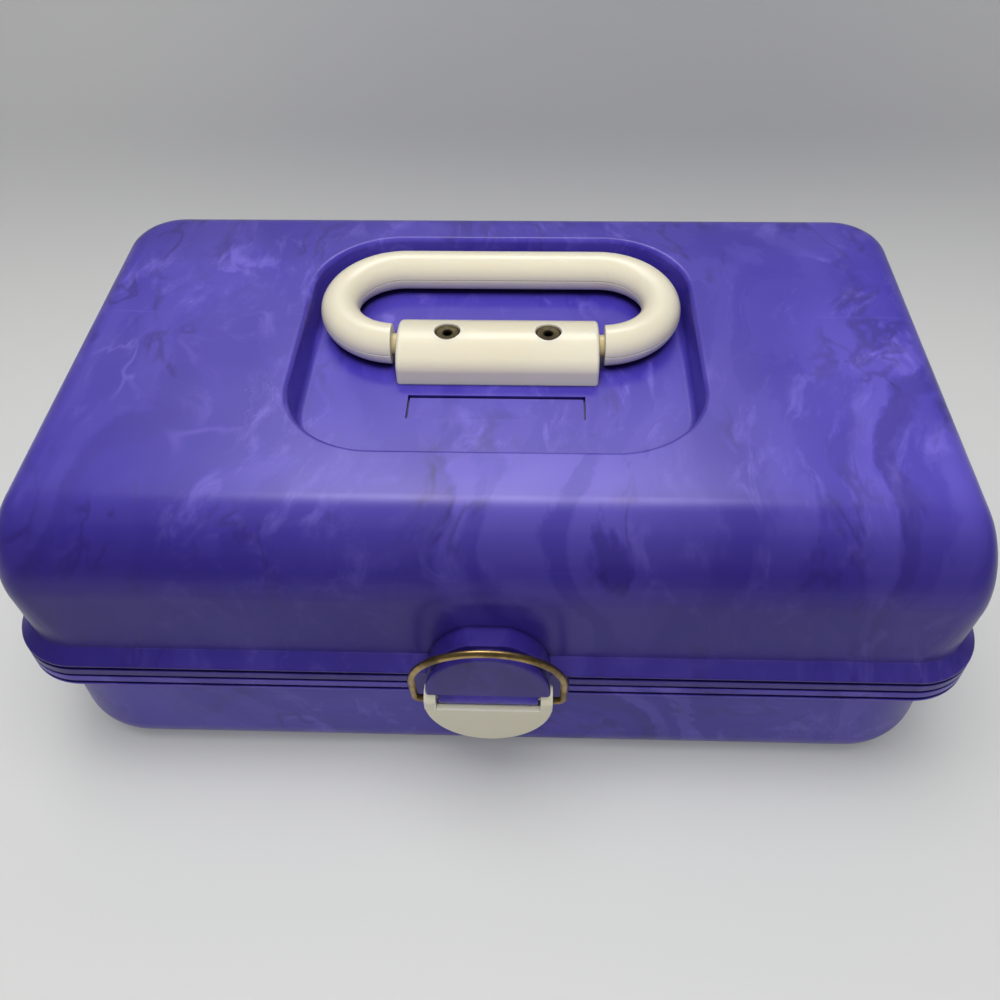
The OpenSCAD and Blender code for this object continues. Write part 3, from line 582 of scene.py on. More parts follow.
def mirrorMaterial():
    material, tree, shader = newMaterial("silveredGlass", Metallic=1.0)
    grain = useGroup(tree, fineGrain, Grain=900.0, Ripple=0.02, Depth=0.01, Scratches=0.6)
    smudge = times(tree, grain["Haze"], 0.08)
    colour = tinted(tree, grain["Marks"], (0.88, 0.9, 0.91, 1), (0.7, 0.72, 0.73, 1))
    feed(tree, shader, Base_Color=colour, Roughness=plus(tree, smudge, 0.02), Normal=grain["Normal"])
    return material


silveredGlass = mirrorMaterial()

lilac = {"body": (0.30, 0.235, 0.60, 1), "pale": (0.44, 0.38, 0.72, 1), "deep": (0.17, 0.12, 0.42, 1),
         "worn": (0.45, 0.4, 0.7, 1), "gap": (0.06, 0.04, 0.2, 1), "rough": (0.36, 0.46),
         "edgeRadius": 0.0006}
trayPlastic = marbledMaterial("trayPlastic", lilac, 0.55, (0.4, 0.1, 0.2))
print("finishes ready")


# lid

case = {"halfL": 165, "halfW": 102.25, "top": 113, "seam": 54, "wall": 2.4, "rimCorner": 23.5,
        "rimHigh": 5.6, "grooveFrom": 2.3, "grooveTo": 0.9, "groove": 2.1, "shadowGap": 0.45, "notch": 26.8}
lid = {"halfL": 160, "halfW": 97.25, "lean": 1.4, "foot": 54.3, "ledge": 63.9, "topRound": 11,
       "backRound": 22, "frontRound": 26, "sideRound": 10, "footRound": 20, "floor": 99.5, "rimIn": 9.8,
       "slope": 6.8, "ledgeOut": 5}
recess = {"halfL": 73.5, "halfW": 62, "corner": 33, "lean": 2, "y": 12, "lip": 1.8, "fillet": 2.2, "panR": 3}
label = {"halfL": 32.5, "back": -8, "front": -20.6, "depth": 0.8, "line": 0.7}
latch = {"radius": 20.6, "face": 109.7, "middle": 59.2, "low": 58.5, "lip": 2.2, "neckW": 3.6, "neckD": 2.5,
         "edge": 1.2, "flat": 1.1, "pinY": -106.3, "pinZ": 53.2, "pin": 1.2, "pinHalf": 18, "barHalf": 16.7,
         "barR": 2.7, "webT": 2.4, "webBack": -96.85}
hinge = {"x": 92, "y": 106.65, "z": 54, "radius": 4, "lidHalf": 8, "gap": 0.4, "baseL": 9, "pin": 1.5,
         "lidTop": 57.7, "baseLow": 50.3, "holeHalf": 20}
link = {"lidPivot": (46.65, 60.2), "basePivot": (56.65, 34), "trayPivot": (-3.35, 40.2), "lug": 3.4,
        "pin": 2, "lidLug": (148.8, 158.8), "lidHole": (147.8, 157.62), "baseLug": (154, 159.4),
        "baseHole": (153, 158.22), "bigLug": 4.4}
mirror = {"halfL": 75, "halfW": 46, "corner": 7, "low": 88.9, "high": 93.5, "glass": 2, "border": 7,
          "screwX": 48, "screwY": 42.5, "screw": 1.25, "headR": 2.5, "headT": 1.5, "well": 2.7, "postR": 3.2,
          "postTop": 98.3, "holeLow": 92.5, "holeTop": 97.12, "tip": 97.1, "cross": (1.6, 0.3)}
rivetAt = {"x": 18.75, "shaft": 2.5}


def wheel(ringR, tubeR):
    bm = bmesh.new()
    bmesh.ops.create_circle(bm, segments=64, radius=tubeR, matrix=shift(x=ringR) @ turn(90, "X"))
    spun(bm, bm.verts[:] + bm.edges[:], (0, 0, 0), (0, 0, 1), math.tau, 96, merge=True)
    return bm


def lidForm(off, foot):
    # the hull of rounds at the top's edges and of four upright corners
    halfL, halfW, topR, sideR = lid["halfL"], lid["halfW"], lid["topRound"], lid["sideRound"]
    backR, frontR, top, ledge = lid["backRound"], lid["frontRound"], case["top"], lid["ledge"]
    topL, topW = halfL - lid["lean"], halfW - lid["lean"]
    parts = []
    for side in (-1, 1):
        place = shift(side * (topL - backR), topW - backR, top - topR)
        parts.append(placed(wheel(backR - topR, topR - off), place))
        place = shift(side * (topL - sideR), frontR - topW, top - frontR) @ turn(90, "Y")
        parts.append(placed(wheel(frontR - sideR, sideR - off), place))
        for way, corner in ((-1, lid["footRound"]), (1, backR)):
            disc = bmesh.new()
            bmesh.ops.create_cone(disc, cap_ends=False, segments=96, radius1=corner - off,
                                  radius2=corner - off, depth=ledge - foot)
            place = shift(side * (halfL - corner), way * (halfW - corner), (ledge + foot) / 2)
            parts.append(placed(disc, place))
    bm = together(*parts)
    bmesh.ops.delete(bm, geom=bm.edges[:] + bm.faces[:], context="EDGES_FACES")
    bmesh.ops.convex_hull(bm, input=bm.verts[:])
    bmesh.ops.delete(bm, geom=[v for v in bm.verts if not v.link_faces], context="VERTS")
    return flattened(outward(bm))


def recessForm(off, floor, top, lip, fillet):
    points = [(off - 20, floor), (off - recess["lean"], floor, fillet), (off, top, lip), (off + 7, top),
              (off + 7, top + 4), (off - 20, top + 4)]
    bm = sweptRound(points, recess["halfL"], recess["halfW"], recess["corner"], closed=False, turns=24,
                    steps=6)
    return placed(bm, shift(y=recess["y"]))


def notchedRim(points, low, inside, high):
    # a rim all round, with the latch's notch cut between those two heights
    bm = sweptRound(points, case["halfL"], case["halfW"], case["rimCorner"], turns=24, steps=3)
    return cut(bm, block((-case["notch"], -110, low), (case["notch"], -inside, high)))


def rimPoints(low, high, parting, way):
    # the grooved edge of a rim, from its parting face (at low or high) to the other end
    deep, near = -case["groove"], parting + way * case["shadowGap"]
    far = high if way > 0 else low
    first, last = far - way * case["grooveFrom"], far - way * case["grooveTo"]
    return [(deep, parting), (deep, near), (0, near, 0.2), (0, first, 0.25), (deep, first, 0.15),
            (deep, last, 0.15), (0, last, 0.25), (0, far, 0.45)]


def lidRim():
    low, high = lid["foot"], lid["foot"] + case["rimHigh"]
    run, inner = lid["slope"], -lid["rimIn"]
    upper = high + run * ((lid["ledge"] - high) / lid["ledgeOut"])
    points = [(inner, low), *rimPoints(low, high, low, 1), (-run, upper), (inner, upper)]
    # the ledge runs on over the notch
    return notchedRim(points, low - 1, lid["halfW"], high - 0.1)


def latchBoss():
    # a half round with a neck behind its lip, where a bail can hook
    face, lip = latch["face"], latch["face"] - latch["lip"]
    back, neck = lid["halfW"] - 2, lip - latch["neckW"]
    radius, inner = latch["radius"], latch["radius"] - latch["neckD"]
    points = [(0, back), (radius, back), (radius, neck, 0.5), (inner, neck, 0.3), (inner, lip, 0.3),
              (radius, lip, 0.3), (radius, face, latch["edge"]), (0, face)]
    bm = placed(lathed(points, turns=96), shift(z=latch["middle"]) @ turn(90, "X"))
    bm = sliced(bm, (0, 0, latch["low"]), (0, 0, -1))
    # the crown behind the neck is flat
    crown = latch["middle"] + radius - latch["flat"]
    return cut(bm, block((-radius, latch["neckW"] - lip - 0.5, crown), (radius, 1 - back, crown + 5)))


def hingeKnuckle(x0, x1, low, high):
    barrel = rod(x0, x1, hinge["y"], hinge["z"], hinge["radius"], 0.4)
    return added(barrel, block((x0, case["halfW"] - 1, low), (x1, hinge["y"], high)))


def bothWays(distance):
    return (-distance, distance)


def atScrews(tool):
    # a copy of the tool at each of the mirror's four screws, in turn
    return [placed(tool.copy(), shift(x, y)) for x in bothWays(mirror["screwX"])
            for y in bothWays(mirror["screwY"])]


def lidShell():
    bm = added(lidForm(0, lid["foot"]), lidRim())
    bm = cut(bm, lidForm(case["wall"], lid["foot"] - 1))
    floor, top = lid["floor"], case["top"] + 0.01
    pan = recessForm(case["wall"], floor - case["wall"], top, 0, recess["panR"])
    bm = added(bm, mixed(lidForm(0, lid["foot"]), pan, "INTERSECT"), latchBoss())
    for x in bothWays(hinge["x"]):
        low, high = x - hinge["lidHalf"], x + hinge["lidHalf"]
        bm = added(bm, hingeKnuckle(low, high, lid["foot"], hinge["lidTop"]))
    bm = added(bm, mirrored(rod(*link["lidLug"], *link["lidPivot"], link["lug"])))
    low, high, radius = mirror["high"], mirror["postTop"], mirror["postR"]
    post = lathed([(0, low), (radius, low, 0.3), (radius, high), (0, high)], turns=24, steps=2)
    bm = added(bm, *atScrews(post))
    bm = cut(bm, recessForm(0, floor, top, recess["lip"], recess["fillet"]))
    half, front, back, line = label["halfL"], label["front"], label["back"], label["line"]
    bottom = floor - label["depth"]
    bm = cut(bm, block((-half, front, bottom), (half, back, floor + 2)))
    # a fine groove inside three of the panel's edges
    deeper = bottom - line
    bm = cut(bm, block((-half, back - line, deeper), (half, back, bottom + 1)))
    for x in (-half, half - line):
        bm = cut(bm, block((x, front, deeper), (x + line, back, bottom + 1)))
    for x in bothWays(rivetAt["x"]):
        bm = cut(bm, placed(drill(rivetAt["shaft"], 95, 101), shift(x, recess["y"])))
    for x in bothWays(hinge["x"]):
        low, high = x - hinge["holeHalf"], x + hinge["holeHalf"]
        bm = cut(bm, rod(low, high, hinge["y"], hinge["z"], hinge["pin"] + play))
    bm = cut(bm, mirrored(rod(*link["lidHole"], *link["lidPivot"], link["pin"] + slip, 0)))
    bm = cut(bm, *atScrews(drill(mirror["screw"] + slip, mirror["holeLow"], mirror["holeTop"])))
    return flattened(bm)


piece("lidShell", lidShell(), "lid", marbledPurple, "marbled_purple", "lid_shell")
print("lid done")


# base

base = {"halfL": 160.6, "halfW": 97.85, "corner": 31, "foot": 15, "lipL": 156.8, "lipW": 94.05, "lipT": 1.4,
        "lipH": 2.4, "lipFoot": 2.6, "lipStep": 1.6, "lipCorner": 27.8, "rimIn": 11.15}


def baseForm(off, top):
    points = [(-20, off), (0, off, base["foot"] - off), (0, top), (-20, top)]
    return sweptRound(points, base["halfL"] - off, base["halfW"] - off, base["corner"] - off, closed=False,
                      turns=24, steps=12)


def baseRim():
    low, high, inner = case["seam"] - case["rimHigh"], case["seam"], -base["rimIn"]
    points = [(inner, high), *rimPoints(low, high, high, -1), (inner, low)]
    return notchedRim(points, low - 1, base["halfW"], high + 1)


def baseLip():
    low, high = case["seam"] - base["lipH"], case["seam"] + base["lipH"]
    step, foot, inner = low + base["lipStep"], base["lipFoot"], -base["lipT"]
    points = [(inner, low), (foot, low), (foot, step), (0, step, 0.2), (0, high, 0.5), (inner, high, 0.5)]
    return sweptRound(points, base["lipL"], base["lipW"], base["lipCorner"], turns=24, steps=3)


def latchKnuckle():
    # the bar that carries the lever: a barrel with a flat web behind it
    y, z, half = latch["pinY"], latch["pinZ"], latch["barHalf"]
    barrel = rod(-half, half, y, z, latch["barR"], 0.4)
    return added(barrel, block((-half, y, z - latch["webT"]), (half, latch["webBack"], z)))


def baseShell():
    bm = added(baseForm(0, case["seam"]), baseRim())
    bm = cut(bm, baseForm(case["wall"], case["seam"] + 2))
    bm = added(bm, baseLip(), latchKnuckle())
    half, reach = hinge["baseL"] / 2, hinge["holeHalf"]
    for x in bothWays(hinge["x"]):
        for way in (-1, 1):
            middle = x + way * (hinge["lidHalf"] + hinge["gap"] + half)
            bm = added(bm, hingeKnuckle(middle - half, middle + half, hinge["baseLow"], case["seam"]))
        bm = cut(bm, rod(x - reach, x + reach, hinge["y"], hinge["z"], hinge["pin"]))
    bm = added(bm, mirrored(rod(*link["baseLug"], *link["basePivot"], link["bigLug"])))
    bm = cut(bm, mirrored(rod(*link["baseHole"], *link["basePivot"], link["pin"] + slip, 0)))
    bm = cut(bm, rod(-latch["pinHalf"], latch["pinHalf"], latch["pinY"], latch["pinZ"], latch["pin"]))
    return flattened(bm)


piece("baseShell", baseShell(), "base", marbledPurpleBase, "marbled_purple", "base_shell")
print("base done")


# handle

grip = {"radius": 7.5, "y": 12, "z": 107.4, "half": 38.5, "reach": 48, "legEnd": 39.8, "seam": 0.55,
        "seamHalf": 0.3, "endRound": 0.9}


def gripPiece():
    y, z, half, reach, end = grip["y"], grip["z"], grip["half"], grip["reach"], grip["legEnd"]
    bm = piped(grip["radius"], shift(half, y, z) @ turn(90, "Y"), [
        ("bend", (half, y + reach / 2, z), (0, 0, 1), 180, 40), ("run", (-2 * half, 0, 0)),
        ("bend", (-half, y + reach / 2, z), (0, 0, 1), 180, 40)], sides=64)
    # the mould's parting line: a fine groove round the middle height
    for level in bothWays(grip["seamHalf"]):
        scored(bm, (0, 0, z + level), (0, 0, 1))
    bm.normal_update()
    for v in [v for v in bm.verts if abs(v.co.z - z) < 0.01]:
        v.co += v.normal * -grip["seam"]
    bm = flattened(cut(bm, block((-end, y - 15, z - 15), (end, y + 8.5, z + 15))))
    return softened(bm, lambda e: all(abs(abs(v.co.x) - end) < 0.01 and v.co.y < y + 12 for v in e.verts),
                    grip["endRound"], 3)


piece("gripLoop", gripPiece(), "handle", ivoryPlastic, "ivory_plastic", "handle_grip", sharp=40)

blockSizes = {"halfL": 37.5, "halfW": 14, "floor": 99.5, "top": 114, "arch": 18.3, "fan": 38,
              "endRound": 1.5, "sideRound": 3, "wellR": 4.8, "wellDepth": 2.6, "flare": 1.2, "over": 0.9}
pivot = {"low": 27.5, "neckLow": 37.7, "neckHigh": 39.6, "high": 44.8, "radius": 4.2, "neck": 3.9,
         "slope": 0.2, "hole": 4.26, "holeEnd": 39.5}


def blockBody():
    # an arched section with a flat each side of the arch, pulled along X
    b, fan = blockSizes, math.radians(blockSizes["fan"])
    axisZ = b["top"] - b["arch"]
    bm = bmesh.new()
    first = bm.verts.new((-b["halfL"], -b["arch"] * math.sin(fan), axisZ + b["arch"] * math.cos(fan)))
    last = spun(bm, [first], (-b["halfL"], 0, axisZ), (-1, 0, 0), 2 * fan, 40)[0]
    bm.verts.ensure_lookup_table()
    shoulder = last.co.z - (b["halfW"] - abs(last.co.y)) * math.tan(fan)
    side = math.copysign(b["halfW"], last.co.y)
    corners = [bm.verts.new((-b["halfL"], *place)) for place in (
        (side, shoulder), (side, b["floor"]), (-side, b["floor"]), (-side, shoulder))]
    chain = [last, *corners, first]
    for pair in zip(chain, chain[1:]):
        bm.edges.new(pair)
    bmesh.ops.holes_fill(bm, edges=bm.edges[:], sides=0)
    bevelled(bm, [corners[0], corners[3]], b["sideRound"], 8, "VERTICES")
    made = bmesh.ops.extrude_face_region(bm, geom=bm.faces[:])["geom"]
    bmesh.ops.translate(bm, vec=(2 * b["halfL"], 0, 0), verts=vertsOf(made))
    return placed(outward(bm), shift(y=grip["y"]))


def handleBlock():
    b, y = blockSizes, grip["y"]
    bm = blockBody()
    softened(bm, lambda e: all(abs(abs(v.co.x) - b["halfL"]) < 0.01 for v in e.verts)
             and max(v.co.z for v in e.verts) > b["floor"] + 0.01, b["endRound"], 4)
    foot, over = b["top"] - b["wellDepth"], b["top"] + b["over"]
    for way in (-1, 1):
        place = shift(way * rivetAt["x"], y)
        well = lathed([(0, foot), (b["wellR"], foot, 0.2), (b["wellR"], b["top"] - 0.3, 0.3),
                       (b["wellR"] + b["flare"], over), (0, over)], turns=64)
        bm = cut(bm, placed(well, place), placed(drill(rivetAt["shaft"], 98, 113, 32), place))
        low, high = sorted((way * pivot["low"], way * pivot["holeEnd"]))
        bm = cut(bm, rod(low, high, y, grip["z"], pivot["hole"], 0))
    return flattened(bm)


piece("handleBlock", handleBlock(), "lid", ivoryPlastic, "ivory_plastic", "handle_block", sharp=38)


def pivotStub():
    # a stub with a slight collar where it shows between the block and the grip
    p = pivot
    points = [(0, p["low"]), (p["radius"], p["low"], 0.6), (p["radius"], p["neckLow"]),
              (p["neck"], p["neckLow"] + p["slope"]), (p["neck"], p["neckHigh"] - p["slope"]),
              (p["radius"], p["neckHigh"]), (p["radius"], p["high"], 0.6), (0, p["high"])]
    return placed(lathed(points, turns=40, steps=2), shift(y=grip["y"], z=grip["z"]) @ turn(90, "Y"))


piece("handlePivots", mirrored(pivotStub()), "handle", yellowedNylon, "nylon", "handle_pivots")


def rivet():
    # hollow, with a rolled head in the well and a flat foot under the washer
    points = [(1.3, 95.1, 0.3), (1.3, 112.2, 0.3), (1.9, 112.8, 0.3), (4.2, 113.0, 0.4), (4.65, 112.6, 0.2),
              (4.65, 111.4), (2.5, 111.4), (2.5, 96.1), (3.5, 96.1, 0.3), (3.5, 95.1, 0.4)]
    return placed(lathed(points, closed=True, turns=40), shift(rivetAt["x"], grip["y"]))


piece("handleRivets", mirrored(rivet()), "lid", rivetBrass, "aged_brass", "handle_rivets")


def washer():
    points = [(2.5, 96.1, 0.1), (6, 96.1, 0.35), (6, 97.1, 0.1), (2.5, 97.1)]
    return placed(lathed(points, closed=True, turns=48), shift(rivetAt["x"], grip["y"]))


piece("rivetWashers", mirrored(washer()), "lid", rivetBrass, "aged_brass", "rivet_washers")
print("handle done")


# latch

lever = {"face": -109.9, "back": -101.5, "wall": 2.2, "centre": 52, "radius": 21.5, "slotHalf": 17.4,
         "slotZ": 49.8, "ear": 3.55, "edge": 0.7, "pinHalf": 19.3, "footHole": (17.1, 23)}
bail = {"wire": 1.25, "radius": 25, "leg": 14, "bend": 2.4, "foot": 19.3, "lean": 11, "back": 1.3,
        "drop": 4.3}


def dShape(radius, y0, y1, top, soft):
    # a disc along Y with its upper part cut off
    bm = placed(lathed([(0, -y1), (radius, -y1, soft), (radius, -y0, soft), (0, -y0)], turns=96, steps=3),
                shift(z=lever["centre"]) @ turn(90, "X"))
    return sliced(bm, (0, 0, top), (0, 0, 1))


def latchLever():
    pinY, pinZ, radius, slot = latch["pinY"], latch["pinZ"], lever["radius"], lever["slotHalf"]
    face, back, wall, foot = lever["face"], lever["back"], lever["wall"], lever["slotZ"]
    bm = dShape(radius, face, back, pinZ, lever["edge"])
    hollow = dShape(radius - wall, face + wall, back + 2, pinZ + 2, 0.8)
    bm = cut(bm, hollow, block((-slot, face - 1, foot), (slot, back + 1, pinZ + 5)))
    # an ear on each side takes the pin
    side = radius - 0.13
    bm = added(bm, mirrored(rod(slot, radius - 0.03, pinY, pinZ, lever["ear"], 0.3, 48)),
               mirrored(block((slot, face + 0.05, foot), (side, pinY, pinZ))),
               mirrored(block((slot, pinY, foot), (side, pinY + lever["ear"] - 0.05, pinZ))))
    bm = cut(bm, rod(-lever["pinHalf"], lever["pinHalf"], pinY, pinZ, latch["pin"] + play, 0))
    wire = rod(*lever["footHole"], pinY + bail["back"], pinZ - bail["drop"], bail["wire"] + play, 0)
    return flattened(cut(bm, mirrored(wire)))


piece("latchLever", latchLever(), "lever", ivoryPlastic, "ivory_plastic", "latch_lever")


def latchBail():
    # a wire with a foot in each side of the lever
    bend, leg, foot, axis = bail["bend"], bail["leg"], bail["foot"], (0, -1, 0)
    footX = bail["radius"] - bend
    bm = piped(bail["wire"], shift(x=foot) @ turn(90, "Y"), [
        ("run", (footX - foot, 0, 0)), ("bend", (footX, 0, bend), axis, 90, 10),
        ("run", (0, 0, leg - bend)), ("bend", (0, 0, leg), axis, 180, 72),
        ("run", (0, 0, bend - leg)), ("bend", (-footX, 0, bend), axis, 90, 10),
        ("run", (footX - foot, 0, 0))], sides=24)
    softened(bm, lambda e: True, 0.25)
    place = shift(y=latch["pinY"] + bail["back"], z=latch["pinZ"] - bail["drop"])
    return placed(bm, place @ turn(bail["lean"], "X"))


piece("latchBail", latchBail(), "bail", agedBrass, "aged_brass", "latch_bail", sharp=60)
print("latch done")


# inside

tray = {"halfL": 148.2, "halfW": 72, "middle": -14.45, "low": 32, "top": 52, "wall": 1.8, "corner": 12,
        "bead": 0.7, "rowY": -38.45, "inner": 51.1, "shortX": 74.1, "dividerX": 49.4, "earX": 146.4,
        "guideHalf": 3.2, "guideL": 2.3, "slotHalf": 0.95, "loose": 0.35}
divider = {"thick": 1.6, "high": 20, "slack": 0.15, "scoopR": 15, "scoopUp": 11}


def trayShell():
    t = tray
    wall, floor = t["wall"], t["low"] + t["wall"]
    top, bead, row, inner = t["top"], t["bead"], t["rowY"], t["inner"]
    points = [(-6, t["low"]), (0, t["low"], 2.2), (0, top - 2.4, 0.5), (bead, top - 1.7, 0.4),
              (bead, top, 0.7), (-wall, top, 0.6), (-wall, floor, 1.4), (-6, floor)]
    bm = sweptRound(points, t["halfL"], t["halfW"], t["corner"], closed=False, turns=16)
    placed(bm, shift(y=t["middle"]))
    half, foot = wall / 2, t["low"] + wall / 2
    front, back = t["middle"] - t["halfW"] + half, t["middle"] + t["halfW"] - half
    bm = added(bm, block((half - t["halfL"], row - half, foot), (t["halfL"] - half, row + half, inner), 0.45))
    for x in (-t["shortX"], 0, t["shortX"]):
        bm = added(bm, block((x - half, front, foot), (x + half, row, inner), 0.45))
    # a guide for each divider on the row's wall and on the back wall
    for x in bothWays(t["dividerX"]):
        low, high = x - t["guideHalf"], x + t["guideHalf"]
        for y in (row - half, back - half - half):
            bm = added(bm, block((low, y, foot), (high, y + t["guideL"], inner), 0.4))
    (y, z), radius = link["lidPivot"], link["bigLug"]
    bm = added(bm, mirrored(block((t["earX"], y - radius, top - wall), (t["halfL"], y + radius, z))),
               mirrored(rod(t["earX"], t["halfL"], y, z, radius, 0.4, 40)))
    for x in bothWays(t["dividerX"]):
        low, high = x - t["slotHalf"], x + t["slotHalf"]
        bm = cut(bm, block((low, row - 0.1, floor), (high, back - half - 0.5, top + 2)))
    for place, gap in ((link["lidPivot"], play), (link["trayPivot"], t["loose"])):
        bm = cut(bm, mirrored(rod(t["earX"] - 1, t["halfL"] + 1, *place, link["pin"] + gap, 0)))
    return flattened(bm)


piece("trayShell", trayShell(), "tray", trayPlastic, "tray_plastic", "tray")


def trayDivider():
    # a loose plate with a scoop for the finger
    t, slack = tray, divider["slack"]
    x, half = t["dividerX"], divider["thick"] / 2
    low = t["low"] + t["wall"] + slack
    high = low + divider["high"]
    front, back = t["rowY"] - 0.1 + slack, t["middle"] + t["halfW"] - t["wall"] - 0.5 - slack
    bm = block((x - half, front, low), (x + half, back, high), 0.35)
    middle = (front + back) / 2
    return cut(bm, rod(x - 3, x + 3, middle, high + divider["scoopUp"], divider["scoopR"], 0, 64))


piece("trayDividers", mirrored(trayDivider()), "tray", trayPlastic, "tray_plastic", "tray_dividers")

arm = {"inner": 150.4, "thick": 3, "endR": 5, "barHalf": 4.2, "soft": 0.5, "pocket": 0.7, "pocketHalf": 2.2,
       "pocketEnd": 10}


def trayArm(way):
    (y0, z0), (y1, z1) = link["basePivot"], link["trayPivot"]
    inner, outer, half = arm["inner"], arm["inner"] + arm["thick"], arm["pocketHalf"]
    length, end = math.hypot(y0 - y1, z0 - z1), arm["pocketEnd"]
    bm = block((inner, 0, -arm["barHalf"]), (outer, length, arm["barHalf"]), arm["soft"])
    for y in (0, length):
        bm = added(bm, rod(inner, outer, y, 0, arm["endR"], arm["soft"], 48))
    bm = cut(bm, block((outer - arm["pocket"], end, -half), (outer + 1, length - end, half)))
    for y, gap in ((0, slip), (length, play)):
        bm = cut(bm, rod(inner - 1, outer + 1, y, 0, link["pin"] + gap, 0))
    placed(bm, shift(y=y1, z=z1) @ Matrix.Rotation(math.atan2(z0 - z1, y0 - y1), 4, "X"))
    return flipped(bm) if way < 0 else bm


for side, way in (("Left", -1), ("Right", 1)):
    name = side.lower()
    piece("trayArm" + side, trayArm(way), "arm_" + name, ivoryPlastic, "ivory_plastic", "tray_arm_" + name)
print("tray done")


def mirrorFrame():
    m, low, high = mirror, mirror["low"], mirror["high"]
    inner, seat, radius = 0.01 - m["border"], low + m["headT"], m["screw"] + slip
    points = [(inner, low + m["glass"]), (inner, low, 0.4), (0, low, 1.2), (0, high, 0.8), (-6, high)]
    bm = sweptRound(points, m["halfL"], m["halfW"], m["corner"], closed=False, turns=16)
    hole = lathed([(0, low - 1), (m["well"], low - 1), (m["well"], seat), (radius, seat), (radius, high + 1),
                   (0, high + 1)], turns=32)
    return flattened(cut(bm, *atScrews(hole)))


piece("mirrorFrame", mirrorFrame(), "lid", ivoryPlastic, "ivory_plastic", "mirror_frame")


def mirrorScrew():
    # a domed head with a cross, on its shank
    m, low, head = mirror, mirror["low"], mirror["headR"]
    seat = low + m["headT"]
    bm = lathed([(0, low + 0.05), (head * 0.6, low + 0.2, 0.3), (head, low + 0.9, 0.3), (head, seat),
                 (m["screw"], seat), (m["screw"], m["tip"], 0.3), (0, m["tip"])], turns=32, steps=2)
    for x, y in (m["cross"], m["cross"][::-1]):
        bm = cut(bm, block((-x, -y, low - 1), (x, y, low + 0.8)))
    return placed(bm, shift(m["screwX"], m["screwY"]))


piece("mirrorScrews", mirrored(mirrored(mirrorScrew()), "Y"), "lid", plainSteel, "steel", "mirror_screws")

# the nodes that keep their own shape
pins = ["hinge_pins", "latch_pin", "arm_base_pins", "lid_tray_pins", "arm_tray_pin_left",
        "arm_tray_pin_right"]
for node, material in [(pin, plainSteel) for pin in pins] + [("mirror_glass", silveredGlass)]:
    cadNodes[node].data.materials.clear()
    cadNodes[node].data.materials.append(material)
print("inside done")


# stage, camera and light

stage = {"front": -1.6, "back": 0.75, "halfW": 2.2, "rise": 1.3, "curve": 0.35}
view = {"place": (0.01425, -0.28278, 0.34200), "pitch": 47.377, "yaw": 2.885, "roll": -1.312, "lens": 35.77}


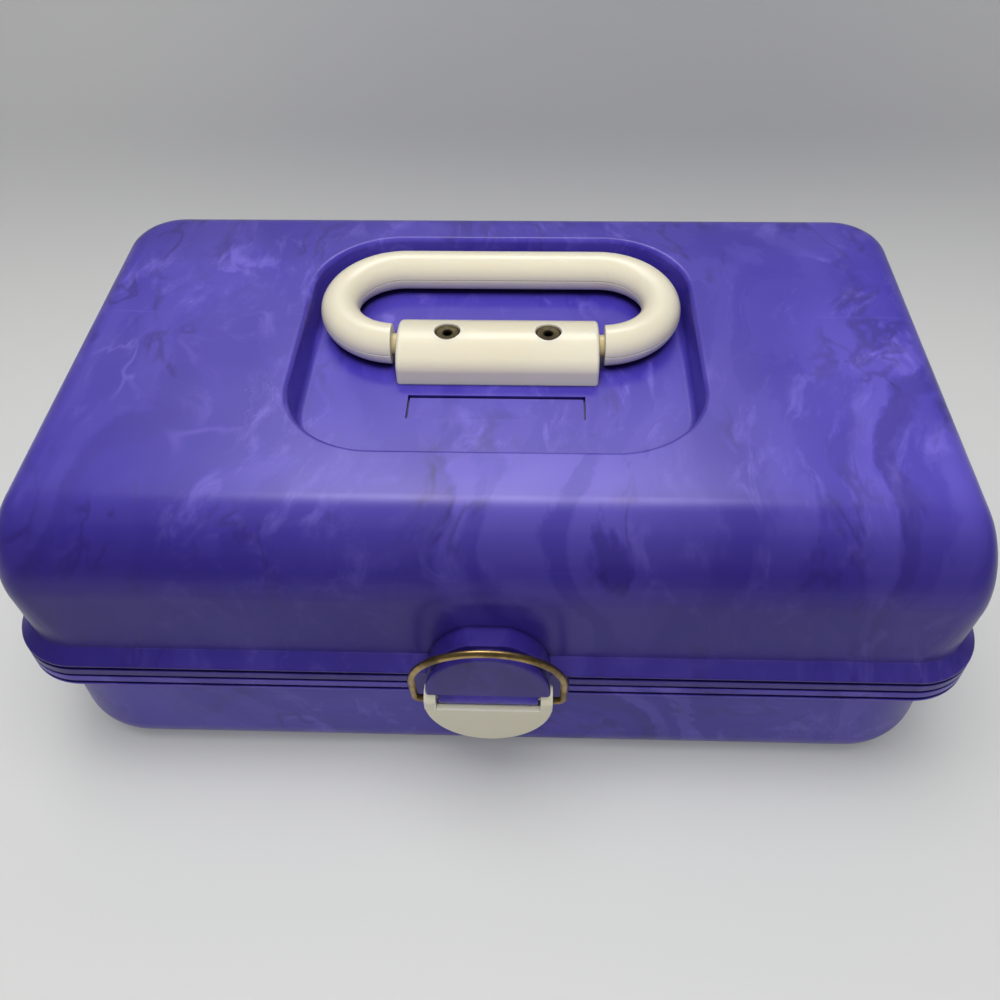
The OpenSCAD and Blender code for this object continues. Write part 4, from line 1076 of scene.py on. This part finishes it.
def backdrop():
    bm = bmesh.new()
    low = [bm.verts.new((x, stage["front"], 0)) for x in (-stage["halfW"], stage["halfW"])]
    edge = bm.edges.new(low)
    for step in ((0, stage["back"] - stage["front"] - stage["curve"], 0), None, (0, 0, stage["rise"])):
        if step:
            made = bmesh.ops.extrude_edge_only(bm, edges=[edge])["geom"]
            bmesh.ops.translate(bm, vec=step, verts=vertsOf(made))
        else:
            centre = (0, stage["back"] - stage["curve"], stage["curve"])
            made = spun(bm, [*edge.verts, edge], centre, (1, 0, 0), math.pi / 2, 32)
        edge = edgesOf(made)[0]
    thing = meshObject(outward(bm), "backdrop", smooth=True)
    material, tree, shader = newMaterial("palePaper", Roughness=0.75)
    place = ownPlace(tree)
    depth = put(tree, "SeparateXYZ", {0: place}).outputs["Y"]
    # painted shade: the floor darkens towards the back, as if the light fell off there
    paintedDimming = ranged(tree, depth, 0.04, 0.40)
    # and a painted shadow, darker still, in a patch behind the case
    middle = put(tree, "VectorMath", {0: place, 1: (0.06, 0.42, 0.0)}, operation="DISTANCE").outputs["Value"]
    middle = ranged(tree, middle, 0.52, 0.05)
    mottle = noise(tree, place, 3.0, seed=1.0)
    near = tinted(tree, mottle, (0.66, 0.665, 0.655, 1), (0.68, 0.682, 0.67, 1))
    far = tinted(tree, mottle, (0.46, 0.462, 0.462, 1), (0.475, 0.477, 0.477, 1))
    shade = tinted(tree, times(tree, middle, paintedDimming), far, (0.34, 0.342, 0.37, 1))
    seen = put(tree, "LightPath").outputs
    seen = calc(tree, "MAXIMUM", seen["Is Camera Ray"], seen["Is Glossy Ray"])
    colour = tinted(tree, seen, (0.30, 0.30, 0.30, 1), tinted(tree, paintedDimming, near, shade))
    feed(tree, shader, Base_Color=colour)
    thing.data.materials.append(material)


backdrop()


def areaLight(name, place, aim, size, power, colour, shine=True, diffuse=True):
    lamp = bpy.data.lights.new(name, "AREA")
    lamp.shape, lamp.size, lamp.size_y = "RECTANGLE", *size
    lamp.energy, lamp.color = power, colour
    thing = linked(name, lamp)
    thing.visible_glossy, thing.visible_diffuse = shine, diffuse
    thing.location = place
    thing.rotation_euler = (Vector(aim) - Vector(place)).to_track_quat("-Z", "Y").to_euler()


areaLight("softboxBehind", (-0.05, 0.72, 1.04), (0, -0.08, 0.1), (0.78, 0.44), 14.0, (1.0, 0.99, 0.965),
          diffuse=False)
areaLight("softboxAbove", (-0.05, -0.08, 1.4), (0, 0, 0), (1.2, 1.0), 14.0, (1.0, 0.995, 0.98), shine=False)
areaLight("softboxFront", (0, -0.95, 1.0), (0, 0, 0.1), (0.8, 0.8), 7.0, (0.98, 0.985, 1.0), shine=False)

world = bpy.data.worlds.new("room")
bpy.context.scene.world = world
world.use_nodes = True
room = world.node_tree.nodes["Background"].inputs
room["Color"].default_value = (0.95, 0.96, 1.0, 1)
room["Strength"].default_value = 0.15

camera = linked("camera", bpy.data.cameras.new("camera"))
bpy.context.scene.camera = camera
camera.data.lens, camera.data.sensor_width = view["lens"], 36
camera.data.clip_start = 0.01
camera.location = view["place"]
camera.rotation_euler = (Matrix.Rotation(math.radians(view["yaw"]), 3, "Z")
                         @ Matrix.Rotation(math.radians(90 - view["pitch"]), 3, "X")
                         @ Matrix.Rotation(math.radians(view["roll"]), 3, "Z")).to_euler()
bpy.context.scene.view_settings.view_transform = "Standard"
